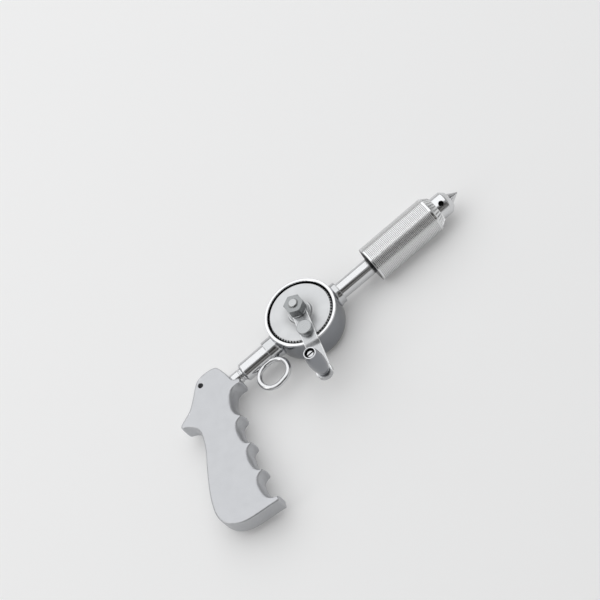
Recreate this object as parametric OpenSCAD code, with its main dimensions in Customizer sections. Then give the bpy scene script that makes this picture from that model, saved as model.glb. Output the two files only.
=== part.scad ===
// Bone hand drill: pistol grip, finger ring, geared crank and key chuck.
// Origin at the centre of the gear housing's flat back. X runs along the spindle
// to the chuck, Z along the crank axle, away from the back. Millimetres.

/* [Spindle line] */
// Height of the spindle axis above the housing's flat back
axis_z = 13; // [13:0.5:15]
// Spindle diameter
spindle_d = 6; // [5:0.5:6.5]
// Outer diameter of the front tube
tube_d = 11.6; // [11.2:0.2:12.4]
// Diameter of the rear barrel
barrel_d = 13.3; // [12.6:0.1:14]
// Where the rear barrel ends
barrel_end = -54; // [-56:0.5:-52]

/* [Gear housing] */
// Outer diameter of the cup
cup_d = 50; // [46:0.5:54]
// Height of the cup, from its back to its rim
cup_h = 25; // [25:0.5:27]
// Width of the bright rim
rim_w = 2.3; // [1.8:0.1:2.5]
// Rounding between the cup's back and its wall
cup_round = 7.5; // [6:0.5:9]

/* [Gears] */
// Teeth on the pinion
pinion_teeth = 16; // [12:2:18]
// Turns of the spindle for one turn of the crank
gear_ratio = 4; // [3:1:4]

/* [Crank] */
// Distance from the axle to the knob
crank_r = 49.2; // [46:0.2:49.4]
// Direction of the crank at rest, seen from its own side
crank_angle = -105; // [-180:5:180]
// Width of the crank arm
arm_w = 10.2; // [9:0.2:12]
// Thickness of the crank arm
arm_t = 2.8; // [2.4:0.1:3]
// Height of the knob
knob_h = 24.4; // [20:0.2:28]
// Widest diameter of the knob
knob_d = 10.9; // [10.2:0.1:12]

/* [Chuck] */
// Outer diameter of the ribbed sleeve
sleeve_d = 26; // [24:0.2:28]
// Rear edge of the sleeve
sleeve_start = 55.8; // [55.8:0.2:58]
// Number of ribs on the sleeve
sleeve_ribs = 46; // [20:1:60]
// Teeth of the key bevel
key_teeth = 32; // [24:2:36]
// Where the closed jaws' points lie
jaw_tip = 130; // [126:0.5:136]
// Largest shank that the jaws take
capacity = 4; // [2:0.5:4]

/* [Grip] */
// Thickness of the flat-sided grip
grip_t = 14; // [12:0.5:16]
// Hole through the tang
tang_hole_d = 3.4; // [2.5:0.1:4]

/* [Hidden] */
$fn = 96;

// Clearances: a shaft that turns, faces that pass each other, and a gap left
// between jaws so that they meet only at their points
run_gap = 0.05;
face_gap = 0.2;
jaw_gap = 0.12;
// Extra length of a cutter, so that it goes clean through
over = 1;

spindle_r = spindle_d / 2;
tube_r = tube_d / 2;
barrel_r = barrel_d / 2;

// Cup
cup_r = cup_d / 2;
cup_bore_r = cup_r - rim_w;
floor_t = 3.2;
inner_round = 5;
rim_round = 0.8;
boss_r = 7.8;
boss_chamfer = 0.7;
front_boss_end = cup_r + 4;
rear_boss_end = -(cup_r + 8);
barrel_seat = -(cup_r + 0.6);
pad_r = 6.5;
pad_top = 8;

// Gears. The wheel is a crown gear that fills the cup, with its teeth facing
// the floor, so the cup's bore sets its pitch circle and the size of its teeth.
pitch_inset = 1.9;
wheel_pitch_r = cup_bore_r - pitch_inset;
wheel_teeth = pinion_teeth * gear_ratio;
gear_module = 2 * wheel_pitch_r / wheel_teeth;
pinion_pitch_r = wheel_pitch_r / gear_ratio;
mesh_z = axis_z + pinion_pitch_r;
addendum = 0.85 * gear_module;
dedendum = 1.1 * gear_module;
tooth_pitch = PI * gear_module;
pinion_root_r = pinion_pitch_r - dedendum;
pinion_face = 1.6;
pinion_start = wheel_pitch_r - 0.9;
pinion_end = pinion_start + pinion_face;
pinion_hub_r = spindle_r + 1;
pinion_hub_start = pinion_start - 5.2;
pin_r = 0.8;

// Wheel, seen in half section
wheel_face_z = cup_h - 0.4;
wheel_face_r = cup_bore_r - 1.5;
wheel_tooth_r = cup_bore_r - 0.5;
wheel_tooth_inner = wheel_pitch_r - 1.6;
wheel_web_z = wheel_face_z - 2.8;
wheel_hub_r = 8.5;
wheel_hub_z = axis_z + 5.2;
wheel_dish = 0.6;

// Axle
axle_r = 3.6;
axle_foot_r = 5;
axle_thread_r = 3.4;
axle_root_r = 3;
bush_wall = 1;
wheel_bush_r = axle_r + run_gap + bush_wall;

// Crank
arm_z = cup_h + 0.4;
arm_top = arm_z + arm_t;
arm_eye_r = 7;
arm_drop = 2.4;
joggle_start = cup_r + 1.4;
joggle_end = joggle_start + 4;
arm_boss_r = 5.5;
arm_boss_t = 3.6;
arm_boss_top = arm_top - arm_drop + 0.4;
stud_at = wheel_face_r - 4.2;
stud_r = 5.2;
stud_top = arm_top + 4.3;
stud_shank_r = 2.5;
washer_t = 1;
washer_z = arm_top + 0.3;
nut_af = 12;
nut_h = 6.8;
nut_turn = 30;
nut_z = washer_z + washer_t;
axle_top = nut_z + nut_h + 1.3;

// Knob and its shoulder screw
knob_z = arm_boss_top + 0.3;
knob_base_r = 3.8;
knob_belly = 0.52;
knob_screw_r = 1.9;
screw_end_r = 1.5;
knob_head_r = 2.3;
knob_head_h = 1.6;
knob_recess_r = 3.2;
knob_recess = 3.2;

// Chuck, along X
sleeve_r = sleeve_d / 2;
sleeve_wall = 2;
sleeve_bore_r = sleeve_r - sleeve_wall;
jaw_reach = 7.2;
nose_end = jaw_tip - jaw_reach;
nose_len = 11.2;
sleeve_end = nose_end - nose_len;
bevel_len = 4.8;
bevel_start = sleeve_end - bevel_len;
bevel_end_r = sleeve_r - 3.2;
rib_depth = 0.28;
rib_margin = 1.2;
nose_r = sleeve_r - 4.7;
nose_tip_r = nose_r - 2.9;
nose_bevel = 3.2;
neck_r = nose_r - 0.9;
nut_len = 4.5;
nut_start = bevel_start - nut_len - 1.3;
nut_end = nut_start + nut_len;
flange_len = 15;
flange_start = nut_start - flange_len;
flange_end = nut_start - face_gap;
body_front = nut_end + face_gap;
chuck_hub_r = 6.5;
chuck_hub_start = flange_start - 8;
socket_end = chuck_hub_start + 13;
shank_bore_r = capacity / 2 + 0.1;
key_hole_x = sleeve_end + 4;
key_hole_r = 1.85;
key_hole_depth = 3.4;
key_hole_angle = 27;

// Jaws. Their slant is what brings them from the spindle's axis, at the tip, to
// the inside of the ring that drives them.
jaw_r = 2.2;
jaw_bore_r = jaw_r + run_gap;
jaw_tip_offset = 1.3;
nut_wall = 2.2;
nut_clearance = 0.18;
jaw_angle = atan(
    (sleeve_bore_r - nut_wall - jaw_r - nut_clearance - jaw_tip_offset) / (jaw_tip - nut_start)
);
jaw_len = 30;
jaw_rear = jaw_tip - jaw_len;
jaw_cone = 30;
jaw_travel = capacity / 2 / sin(jaw_angle);

// Front tube and its bearings
tube_bore_r = 4.2;
bush_len = 10;
flange_t = 1.2;
thrust_t = 1.2;
tube_start = cup_bore_r;
tube_end = chuck_hub_start - thrust_t - face_gap - flange_t;
pinion_washer_t = tube_start - pinion_end - 2 * face_gap;
pinion_washer_r = pinion_root_r - face_gap;

// Grip stem and finger ring
stem_r = 4.65;
spigot_r = 3.2;
grip_seat = -62.9;
stem_start = -80;
stem_end = -38;
ring_wire_r = 1.85;
ring_r = 8.95;
ring_stretch = 3.3;
ring_tilt = 10;
ring_centre = [-38.3, -15.6];

// Grip outline on its flat side, in the spindle's frame, from the tang's back
// edge round to the horn above the first finger. A curve runs through the points.
grip_back = [
    [-84.4, -93.4], [-90, -92.4], [-100, -91.2], [-108, -89.6], [-114, -86.6],
    [-118.4, -81.6], [-120.2, -75.4], [-119, -67.8], [-115.3, -57.6],
    [-108.7, -44.2], [-101.8, -31.6], [-97.9, -20.6], [-98.1, -15],
    [-100.4, -10.6], [-104, -7.8], [-106.2, -6.7], [-105, -5], [-100, -2.8],
    [-94.5, 0.2], [-88, 6.4], [-82.6, 12], [-78.6, 14.4], [-72.6, 14.8],
    [-67.4, 13.8], [-65.2, 11.6], [-63.4, 4], [-62.9, 0], [-62.7, -2.4],
    [-60.6, -4.5], [-58.6, -5.6], [-58.5, -7]
];
// Finger grooves on the flat side: centre and radius of each arc, and the angles
// that it sweeps between
finger_centres = [[-63.5, -19.5], [-72.5, -39.5], [-77, -60], [-82, -80.5]];
finger_radii = [12, 10.5, 10.5, 10.6];
finger_angles = [[70, 226], [92, 243], [94, 243], [92, 258]];
finger_steps = 13;
curve_steps = 3;
// How far the grip swells between its flat sides: in a groove, on the ridge
// between two grooves, and along the back
groove_swell = 5.2;
ridge_swell = 1.9;
back_swell = 1;
front_way = [0.98, -0.2];
// Heights of the grip's cross sections, as fractions of half its thickness
grip_levels = [-1, -0.95, -0.82, -0.6, -0.32, 0, 0.32, 0.6, 0.82, 0.95, 1];
tang_hole = [-80.3, 9.9];
// Points down the middle of the flat side, which its triangles fan out from
grip_spine = [
    [-60.6, -6.4], [-66.5, -3], [-77, -3], [-86, -12], [-89, -28],
    [-95, -46], [-101, -62], [-102, -78], [-96, -88], [-88, -91]
];

// Places a shape drawn along Z on the spindle line, from x onwards
module on_axis(x) {
    translate([x, 0, axis_z]) rotate([0, 90, 0]) children();
}

// A revolved half section about the spindle: points are [x, radius]
module turned(points) {
    translate([0, 0, axis_z]) rotate([0, 90, 0]) rotate([0, 0, 90])
        rotate_extrude() polygon([for (p = points) [p[1], p[0]]]);
}

// A tube along Z
module tube(outer, inner, h) {
    difference() {
        cylinder(r = outer, h = h);
        translate([0, 0, -over]) cylinder(r = inner, h = h + 2 * over);
    }
}

// A disc along Z with both edges broken
module broken_disc(r, h, edge) {
    rotate_extrude()
        polygon([[0, 0], [r - edge, 0], [r, edge], [r, h - edge], [r - edge, h], [0, h]]);
}

// Point at t, from 0 to 1, between b and c on a curve through a, b, c and d
function curve_point(a, b, c, d, t) =
    b + 0.5 * t * (c - a + t * (2 * a - 5 * b + 4 * c - d + t * (3 * (b - c) + d - a)));

function last(list) = len(list) - 1;

// The back of the outline: [point, swell direction, swell, roundness] each
function outward(p, q) = let (v = q - p, l = norm(v)) [v[1] / l, -v[0] / l];
function back_outline() = [
    for (i = [0 : last(grip_back) - 1], k = [0 : curve_steps - 1])
        let (
            a = grip_back[max(i - 1, 0)],
            b = grip_back[i],
            c = grip_back[i + 1],
            d = grip_back[min(i + 2, last(grip_back))],
            t = k / curve_steps
        )
        [curve_point(a, b, c, d, t), -outward(b, c), back_swell, 5]
];

// One finger groove of the outline, swelling most at its middle
function groove_outline(i) = [
    for (k = [0 : finger_steps - 1])
        let (
            t = k / (finger_steps - 1),
            sweep = finger_angles[i],
            angle = sweep[0] + t * (sweep[1] - sweep[0]),
            point = finger_centres[i] + finger_radii[i] * [cos(angle), sin(angle)],
            swell = ridge_swell + (groove_swell - ridge_swell) * pow(sin(180 * t), 2)
        )
        [point, front_way, swell, 2.2]
];

function grip_outline() = concat(
    back_outline(),
    [for (i = [0 : last(finger_centres)]) each groove_outline(i)]
);

// Index of the spine point nearest to p
function nearest(p, i = 1, best = 0) =
    i == len(grip_spine) ? best
    : nearest(p, i + 1, norm(p - grip_spine[i]) < norm(p - grip_spine[best]) ? i : best);

// Triangles of one flat side, clockwise, from its outline to its spine
function flat_side(ring, first, spine_first) = [
    for (i = [0 : len(ring) - 1])
        let (
            k = (i + 1) % len(ring),
            s = nearest(ring[i][0]),
            t = nearest(ring[k][0])
        )
        each concat(
            [[first + i, first + k, spine_first + s]],
            s == t ? [] : [[first + k, spine_first + t, spine_first + s]]
        )
];
function flipped(triangles) = [for (t = triangles) [t[2], t[1], t[0]]];

// The grip's body: the outline repeated at each level, swollen between the sides
module grip_body() {
    ring = grip_outline();
    n = len(ring);
    levels = len(grip_levels);
    points = [
        for (level = grip_levels, r = ring)
            let (bulge = pow(1 - pow(abs(level), r[3]), 1 / r[3]), p = r[0] + r[1] * r[2] * bulge)
            [p[0], p[1], axis_z + level * grip_t / 2]
    ];
    spines = [
        for (side = [-1, 1], p = grip_spine) [p[0], p[1], axis_z + side * grip_t / 2]
    ];
    walls = [
        for (j = [0 : levels - 2], i = [0 : n - 1])
            let (a = j * n + i, b = j * n + (i + 1) % n)
            each [[a, b, b + n], [a, b + n, a + n]]
    ];
    back = flipped(flat_side(ring, 0, levels * n));
    front = flat_side(ring, (levels - 1) * n, levels * n + len(grip_spine));
    polyhedron(concat(points, spines), concat(walls, back, front), convexity = 8);
}

module grip() {
    color("gainsboro") difference() {
        grip_body();
        on_axis(grip_seat) cylinder(r = stem_r, h = 20);
        on_axis(stem_start) cylinder(r = spigot_r, h = 30);
        translate([tang_hole[0], tang_hole[1], 0])
            cylinder(d = tang_hole_d, h = axis_z + grip_t);
    }
}

module grip_stem() {
    edge = 0.6;
    color("silver") turned([
        [stem_start, 0], [stem_start, spigot_r - edge], [stem_start + edge, spigot_r],
        [grip_seat, spigot_r], [grip_seat, stem_r], [barrel_end, stem_r],
        [barrel_end, spigot_r], [stem_end - edge, spigot_r], [stem_end, spigot_r - edge],
        [stem_end, 0]
    ]);
}

module rear_barrel() {
    edge = 1.2;
    color("silver") difference() {
        turned([
            [barrel_end, 0], [barrel_end, barrel_r - edge], [barrel_end + edge, barrel_r],
            [barrel_seat, barrel_r], [barrel_seat, 0]
        ]);
        on_axis(barrel_end - over) cylinder(r = spigot_r, h = stem_end - barrel_end + over);
    }
}

// A stadium of round wire: two half rings joined by two straight pieces, cut to
// sit against the barrel and the boss that they are brazed to
module finger_ring() {
    color("silver") difference() {
        translate([ring_centre[0], ring_centre[1], axis_z]) rotate([0, 0, ring_tilt])
            for (side = [0, 180]) rotate([0, 0, side]) {
                translate([ring_stretch / 2, 0, 0]) rotate([0, 0, -90])
                    rotate_extrude(angle = 180) translate([ring_r, 0]) circle(r = ring_wire_r);
                translate([-ring_stretch / 2, ring_r, 0]) rotate([0, 90, 0])
                    cylinder(r = ring_wire_r, h = ring_stretch);
            }
        on_axis(barrel_end) cylinder(r = barrel_r, h = barrel_seat - barrel_end);
        on_axis(rear_boss_end) cylinder(r = boss_r, h = barrel_seat - rear_boss_end);
    }
}

// Half section of a round-bottomed cup
module cup_section(r, h, round_r) {
    square([r - round_r, h]);
    translate([0, round_r]) square([r, h - round_r]);
    translate([r - round_r, round_r]) circle(r = round_r);
}

module gear_housing() {
    color("silver") difference() {
        union() {
            rotate_extrude() intersection() {
                union() {
                    cup_section(cup_r, cup_h - rim_round, cup_round);
                    for (x = [cup_bore_r + rim_round, cup_r - rim_round])
                        translate([x, cup_h - rim_round]) circle(r = rim_round);
                    translate([cup_bore_r + rim_round, 0])
                        square([rim_w - 2 * rim_round, cup_h]);
                }
                square([cup_r, cup_h]);
            }
            on_axis(cup_bore_r - over) boss(front_boss_end - cup_bore_r + over);
            rotate([0, 0, 180]) on_axis(cup_bore_r - over)
                boss(-rear_boss_end - cup_bore_r + over);
        }
        difference() {
            translate([0, 0, floor_t]) rotate_extrude() intersection() {
                cup_section(cup_bore_r, cup_h, inner_round);
                square([cup_bore_r, cup_h]);
            }
            cylinder(r = pad_r, h = pad_top);
        }
        translate([0, 0, floor_t]) cylinder(r = axle_root_r, h = pad_top);
        on_axis(cup_bore_r - 2 * over) cylinder(r = tube_r, h = front_boss_end);
        on_axis(rear_boss_end - over) cylinder(r = barrel_r, h = barrel_seat - rear_boss_end + over);
    }
}

// A boss on the cup's wall, its outer edge broken
module boss(h) {
    cylinder(r = boss_r, h = h - boss_chamfer);
    translate([0, 0, h - boss_chamfer])
        cylinder(r1 = boss_r, r2 = boss_r - boss_chamfer, h = boss_chamfer);
}

module front_tube() {
    color("silver") on_axis(tube_start) tube(tube_r, tube_bore_r, tube_end - tube_start);
}

// A flanged bush; its flange lies at z = 0, outside the tube
module flanged_bush(flange_r) {
    difference() {
        union() {
            cylinder(r = tube_bore_r, h = bush_len);
            translate([0, 0, -flange_t]) cylinder(r = flange_r, h = flange_t);
        }
        translate([0, 0, -flange_t - over])
            cylinder(r = spindle_r + run_gap, h = bush_len + flange_t + 2 * over);
    }
}

module front_bush() {
    color("goldenrod") translate([tube_end, 0, axis_z]) rotate([0, -90, 0])
        flanged_bush(tube_r);
}

module rear_bush() {
    color("goldenrod") on_axis(tube_start) tube(tube_bore_r, spindle_r + run_gap, bush_len);
}

module thrust_washer() {
    color("goldenrod") on_axis(tube_end + flange_t + face_gap)
        tube(chuck_hub_r, spindle_r, thrust_t);
}

// Fixed axle: screwed foot, wheel seat with a shoulder, and the nut's thread
module axle() {
    dome = 0.8;
    color("silver") rotate_extrude() polygon([
        [0, floor_t], [axle_root_r, floor_t], [axle_root_r, pad_top],
        [axle_foot_r, pad_top], [axle_foot_r, wheel_hub_z - face_gap],
        [axle_r, wheel_hub_z - face_gap], [axle_r, washer_z], [axle_thread_r, washer_z],
        [axle_thread_r, axle_top - dome], [axle_thread_r - dome, axle_top], [0, axle_top]
    ]);
}

module axle_washer() {
    color("silver") translate([0, 0, washer_z]) tube(nut_af / 2 + 0.5, axle_thread_r, washer_t);
}

module axle_nut() {
    corner_r = nut_af / 2 / cos(30);
    edge = corner_r - nut_af / 2;
    color("silver") translate([0, 0, nut_z]) difference() {
        intersection() {
            rotate(nut_turn) cylinder(r = corner_r, h = nut_h, $fn = 6);
            broken_disc(corner_r, nut_h, edge);
        }
        translate([0, 0, -over]) cylinder(r = axle_thread_r, h = nut_h + 2 * over);
    }
}

// One space between the wheel's teeth, open downward; past the wheel's face it
// runs right up the edge, so that the teeth show in the gap beside the rim
module wheel_tooth_space() {
    root_w = 0.5 * tooth_pitch;
    pitch_w = 0.67 * tooth_pitch;
    open_w = 0.91 * tooth_pitch;
    root_z = mesh_z + dedendum;
    open_z = mesh_z - 2 * addendum;
    edge_w = 0.8 * root_w;
    translate([wheel_tooth_inner - over, 0, 0]) rotate([90, 0, 90])
        linear_extrude(wheel_tooth_r - wheel_tooth_inner + 2 * over) polygon([
            [-root_w / 2, root_z], [root_w / 2, root_z], [pitch_w / 2, mesh_z],
            [open_w / 2, open_z], [-open_w / 2, open_z], [-pitch_w / 2, mesh_z]
        ]);
    translate([wheel_face_r - 0.3, -edge_w / 2, mesh_z]) cube([2, edge_w, cup_h - mesh_z]);
}

module gear_wheel() {
    tip_z = mesh_z - addendum;
    color("gainsboro") difference() {
        rotate_extrude() polygon([
            [wheel_bush_r, wheel_hub_z], [wheel_hub_r, wheel_hub_z],
            [wheel_hub_r, wheel_web_z], [wheel_tooth_inner, wheel_web_z],
            [wheel_tooth_inner, tip_z], [wheel_tooth_r, tip_z],
            [wheel_tooth_r, wheel_face_z - 1.2], [wheel_face_r, wheel_face_z - 0.3],
            [wheel_face_r - 0.3, wheel_face_z], [wheel_face_r - 1.6, wheel_face_z - 0.1],
            [wheel_hub_r + 1.2, wheel_face_z - wheel_dish], [wheel_hub_r, wheel_face_z - wheel_dish],
            [wheel_hub_r - 0.6, arm_z], [wheel_bush_r, arm_z]
        ]);
        for (i = [0 : wheel_teeth - 1])
            rotate([0, 0, i * 360 / wheel_teeth]) wheel_tooth_space();
        rotate([0, 0, crank_angle]) translate([stud_at, 0, 0])
            cylinder(r = stud_shank_r, h = cup_h);
    }
}

module wheel_bush() {
    color("goldenrod") translate([0, 0, wheel_hub_z])
        tube(wheel_bush_r, axle_r + run_gap, arm_top - wheel_hub_z);
}

// The arm lies along X here; it steps down once it is past the cup's rim
module arm_plate() {
    cylinder(r = arm_eye_r, h = arm_t);
    translate([0, -arm_w / 2, 0]) rotate([90, 0, 0]) mirror([0, 0, 1]) linear_extrude(arm_w) polygon([
        [0, 0], [joggle_start, 0], [joggle_end, -arm_drop], [crank_r, -arm_drop],
        [crank_r, arm_t - arm_drop], [joggle_end, arm_t - arm_drop], [joggle_start, arm_t], [0, arm_t]
    ]);
    translate([crank_r, 0, arm_boss_top - arm_boss_t - arm_z])
        broken_disc(arm_boss_r, arm_boss_t, 0.5);
}

module crank_arm() {
    color("silver") rotate([0, 0, crank_angle]) difference() {
        translate([0, 0, arm_z]) arm_plate();
        translate([0, 0, arm_z - over]) cylinder(r = wheel_bush_r, h = arm_t + 2 * over);
        translate([stud_at, 0, arm_z - over]) cylinder(r = stud_shank_r, h = arm_t + 2 * over);
        translate([crank_r, 0, arm_z - arm_drop - over]) cylinder(r = screw_end_r, h = arm_t + 3 * over);
    }
}

// Round-headed stud through the arm, riveted in the wheel so that both turn
module drive_stud() {
    edge = 0.5;
    collar_r = 3.6;
    color("silver") rotate([0, 0, crank_angle]) translate([stud_at, 0, 0]) rotate_extrude()
        polygon([
            [0, wheel_web_z], [stud_shank_r, wheel_web_z], [stud_shank_r, wheel_face_z],
            [collar_r, wheel_face_z], [collar_r, arm_z], [stud_shank_r, arm_z],
            [stud_shank_r, arm_top], [stud_r, arm_top], [stud_r, stud_top - edge],
            [stud_r - edge, stud_top], [0, stud_top]
        ]);
}

// Shoulder screw: its shank stops on the arm, its slotted head holds the knob
module knob_screw() {
    head_z = knob_z + knob_h - knob_recess + 0.2;
    low_z = arm_boss_top - arm_boss_t;
    slot_w = 0.8;
    color("silver") rotate([0, 0, crank_angle]) translate([crank_r, 0, 0]) difference() {
        rotate_extrude() polygon([
            [0, low_z], [screw_end_r, low_z], [screw_end_r, arm_boss_top], [knob_screw_r, arm_boss_top],
            [knob_screw_r, head_z], [knob_head_r, head_z],
            [knob_head_r, head_z + knob_head_h - 0.3],
            [knob_head_r - 0.3, head_z + knob_head_h], [0, head_z + knob_head_h]
        ]);
        translate([-knob_head_r - over, -slot_w / 2, head_z + knob_head_h - 0.8])
            cube([2 * (knob_head_r + over), slot_w, over]);
    }
}

// A barrel turned from one long arc, recessed on top for the screw's head
module crank_knob() {
    belly_z = knob_h * knob_belly;
    sag = knob_d / 2 - knob_base_r;
    arc_r = (pow(belly_z, 2) + pow(sag, 2)) / (2 * sag);
    color("silver") rotate([0, 0, crank_angle]) translate([crank_r, 0, knob_z]) rotate_extrude()
        difference() {
            intersection() {
                square([knob_d, knob_h]);
                translate([knob_d / 2 - arc_r, belly_z]) circle(r = arc_r, $fn = 480);
            }
            translate([0, -over]) square([knob_screw_r + run_gap, knob_h + 2 * over]);
            translate([0, knob_h - knob_recess]) square([knob_recess_r, knob_recess + over]);
        }
}

module spindle() {
    edge = 0.5;
    color("silver") difference() {
        turned([
            [pinion_hub_start - 0.5, 0], [pinion_hub_start - 0.5, spindle_r - edge],
            [pinion_hub_start - 0.5 + edge, spindle_r], [socket_end, spindle_r], [socket_end, 0]
        ]);
        pin_hole();
    }
}

// The cross hole that the pinion's pin fills
module pin_hole() {
    translate([(pinion_hub_start + pinion_start) / 2, 0, axis_z - pinion_hub_r - over])
        cylinder(r = pin_r, h = 2 * (pinion_hub_r + over));
}

// Straight teeth round the spindle, one of them pointing straight up
module pinion() {
    tip_r = pinion_pitch_r + addendum;
    root_w = 0.52 * tooth_pitch;
    pitch_w = 0.39 * tooth_pitch;
    tip_w = 0.22 * tooth_pitch;
    color("silver") difference() {
        union() {
            on_axis(pinion_hub_start) cylinder(r = pinion_hub_r, h = pinion_start - pinion_hub_start);
            on_axis(pinion_start) {
                cylinder(r = pinion_root_r, h = pinion_face);
                for (i = [0 : pinion_teeth - 1]) rotate([0, 0, i * 360 / pinion_teeth])
                    linear_extrude(pinion_face) polygon([
                        [-pinion_root_r + 0.6, -root_w / 2], [-pinion_pitch_r, -pitch_w / 2],
                        [-tip_r, -tip_w / 2], [-tip_r, tip_w / 2],
                        [-pinion_pitch_r, pitch_w / 2], [-pinion_root_r + 0.6, root_w / 2]
                    ]);
            }
        }
        on_axis(pinion_hub_start - over) cylinder(r = spindle_r, h = pinion_end);
        pin_hole();
    }
}

module pinion_pin() {
    color("silver") translate([(pinion_hub_start + pinion_start) / 2, 0, axis_z - pinion_hub_r + 0.2])
        cylinder(r = pin_r, h = 2 * pinion_hub_r - 0.4);
}

module pinion_washer() {
    color("goldenrod") on_axis(pinion_end) tube(pinion_washer_r, spindle_r, pinion_washer_t);
}

// Distance of a jaw's axis from the spindle's, at x
function jaw_radius(x) = jaw_tip_offset + (jaw_tip - x) * tan(jaw_angle);

// Lays a shape drawn along Z on one jaw's slanted line, starting at x
module on_jaw_line(index, x) {
    translate([0, 0, axis_z])
        rotate([key_hole_angle + 60 + 120 * index, 0, 0])
            translate([x, 0, jaw_radius(x)]) rotate([0, 90 + jaw_angle, 0]) children();
}

module chuck_body() {
    jaw_bore_start = jaw_rear - jaw_travel - 0.5;
    jaw_bore_len = (nose_end - jaw_bore_start) / cos(jaw_angle) + over;
    color("silver") difference() {
        turned([
            [chuck_hub_start, 0], [chuck_hub_start, chuck_hub_r], [flange_start, chuck_hub_r],
            [flange_start, sleeve_bore_r - run_gap], [flange_end, sleeve_bore_r - run_gap],
            [flange_end, neck_r], [body_front, neck_r], [body_front, nose_r],
            [nose_end - nose_bevel, nose_r], [nose_end, nose_tip_r], [nose_end, 0]
        ]);
        on_axis(chuck_hub_start - over) cylinder(r = spindle_r, h = socket_end - chuck_hub_start + over);
        on_axis(socket_end + over) cylinder(r = shank_bore_r, h = nose_end - socket_end);
        for (i = [0 : 2]) {
            on_jaw_line(i, jaw_bore_start) cylinder(r = jaw_bore_r, h = jaw_bore_len);
            translate([key_hole_x, 0, axis_z]) rotate([key_hole_angle + 120 * i, 0, 0])
                translate([0, 0, nose_r - key_hole_depth]) cylinder(r = key_hole_r, h = nose_r);
        }
    }
}

// Ribs are the crests of a row of V grooves round the sleeve
module chuck_sleeve() {
    pitch = (bevel_start - sleeve_start - 2 * rib_margin) / sleeve_ribs;
    groove_w = 0.55 * pitch;
    ribs = [
        for (i = [0 : sleeve_ribs - 1]) let (x = sleeve_start + rib_margin + (i + 0.5) * pitch)
            each [[x - groove_w / 2, sleeve_r], [x, sleeve_r - rib_depth], [x + groove_w / 2, sleeve_r]]
    ];
    edge = 0.5;
    bore_front = nut_end + 2 * face_gap;
    color("silver") difference() {
        turned(concat(
            [[sleeve_start, sleeve_bore_r], [sleeve_start, sleeve_r - edge], [sleeve_start + edge, sleeve_r]],
            ribs,
            [
                [bevel_start, sleeve_r], [sleeve_end, bevel_end_r], [sleeve_end, nose_r + run_gap],
                [bore_front, nose_r + run_gap], [bore_front, sleeve_bore_r]
            ]
        ));
        for (i = [0 : key_teeth - 1]) translate([0, 0, axis_z]) rotate([i * 360 / key_teeth, 0, 0])
            key_tooth_space();
    }
}

// One V between the bevel teeth that the chuck key drives
module key_tooth_space() {
    depth = 1.5;
    width = 1.9;
    slope = atan2(sleeve_r - bevel_end_r, sleeve_end - bevel_start);
    length = norm([sleeve_r - bevel_end_r, sleeve_end - bevel_start]);
    translate([bevel_start, 0, sleeve_r]) rotate([0, 90 + slope, 0])
        translate([0, 0, 0.6]) linear_extrude(length + over) polygon([
            [depth, -0.2], [depth, 0.2], [-over, width / 2 + 0.6], [-over, -width / 2 - 0.6]
        ]);
}

module chuck_nut() {
    inner_r = jaw_r + nut_clearance;
    color("goldenrod") turned([
        [nut_start, jaw_radius(nut_start) + inner_r], [nut_start, sleeve_bore_r],
        [nut_end, sleeve_bore_r], [nut_end, jaw_radius(nut_end) + inner_r]
    ]);
}

// A round jaw on a slanted line, its point cut to a third of a cone so that
// three of them close to one point on the spindle's axis
module jaw(index) {
    reach = 20;
    color("silver") intersection() {
        on_jaw_line(index, jaw_rear) cylinder(r = jaw_r, h = (jaw_tip - jaw_rear) / cos(jaw_angle) + over);
        translate([0, 0, axis_z]) rotate([key_hole_angle + 60 + 120 * index, 0, 0])
            translate([0, 0, jaw_gap]) rotate([90, 0, 90])
                linear_extrude(jaw_tip) polygon([[0, 0], [reach * sin(60), reach / 2], [0, 2 * reach], [-reach * sin(60), reach / 2]]);
        turned([
            [jaw_rear - 2 * over, 0], [jaw_rear - 2 * over, reach],
            [jaw_tip - reach / tan(jaw_cone), reach], [jaw_tip, 0]
        ]);
    }
}

module jaw_1() { jaw(0); }
module jaw_2() { jaw(1); }
module jaw_3() { jaw(2); }

grip();
grip_stem();
rear_barrel();
finger_ring();
gear_housing();
front_tube();
front_bush();
rear_bush();
thrust_washer();
axle();
axle_washer();
axle_nut();
gear_wheel();
wheel_bush();
crank_arm();
drive_stud();
knob_screw();
crank_knob();
spindle();
pinion();
pinion_pin();
pinion_washer();
chuck_body();
chuck_sleeve();
chuck_nut();
jaw_1();
jaw_2();
jaw_3();
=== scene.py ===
# %% [markdown]
# # A bone drill, dressed around its solids
# The solids of the drill come from the packed model. They stay where they are, and
# each visible one is either given a finish or replaced by a piece with the soft
# edges, threads and turned lines that polished steel needs before it looks real.
# Lengths are written in millimetres and scaled once, when a piece is finished.

# %% The packed model
import math

import bmesh
import bpy
from mathutils import Matrix, Vector


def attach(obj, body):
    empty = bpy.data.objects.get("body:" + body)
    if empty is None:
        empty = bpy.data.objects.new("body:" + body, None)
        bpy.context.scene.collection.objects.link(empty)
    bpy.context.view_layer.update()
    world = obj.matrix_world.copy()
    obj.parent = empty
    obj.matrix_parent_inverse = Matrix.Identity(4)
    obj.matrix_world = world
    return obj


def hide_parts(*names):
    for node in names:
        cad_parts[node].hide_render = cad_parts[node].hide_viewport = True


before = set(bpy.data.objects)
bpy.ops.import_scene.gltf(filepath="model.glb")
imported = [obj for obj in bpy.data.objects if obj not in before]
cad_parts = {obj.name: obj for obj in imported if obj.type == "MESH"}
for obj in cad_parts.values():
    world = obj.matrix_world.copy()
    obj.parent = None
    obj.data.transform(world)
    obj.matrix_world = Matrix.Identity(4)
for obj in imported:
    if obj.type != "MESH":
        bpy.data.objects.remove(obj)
scene = bpy.context.scene


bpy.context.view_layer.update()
MM = 0.001
print("solids:", len(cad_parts))

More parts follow.
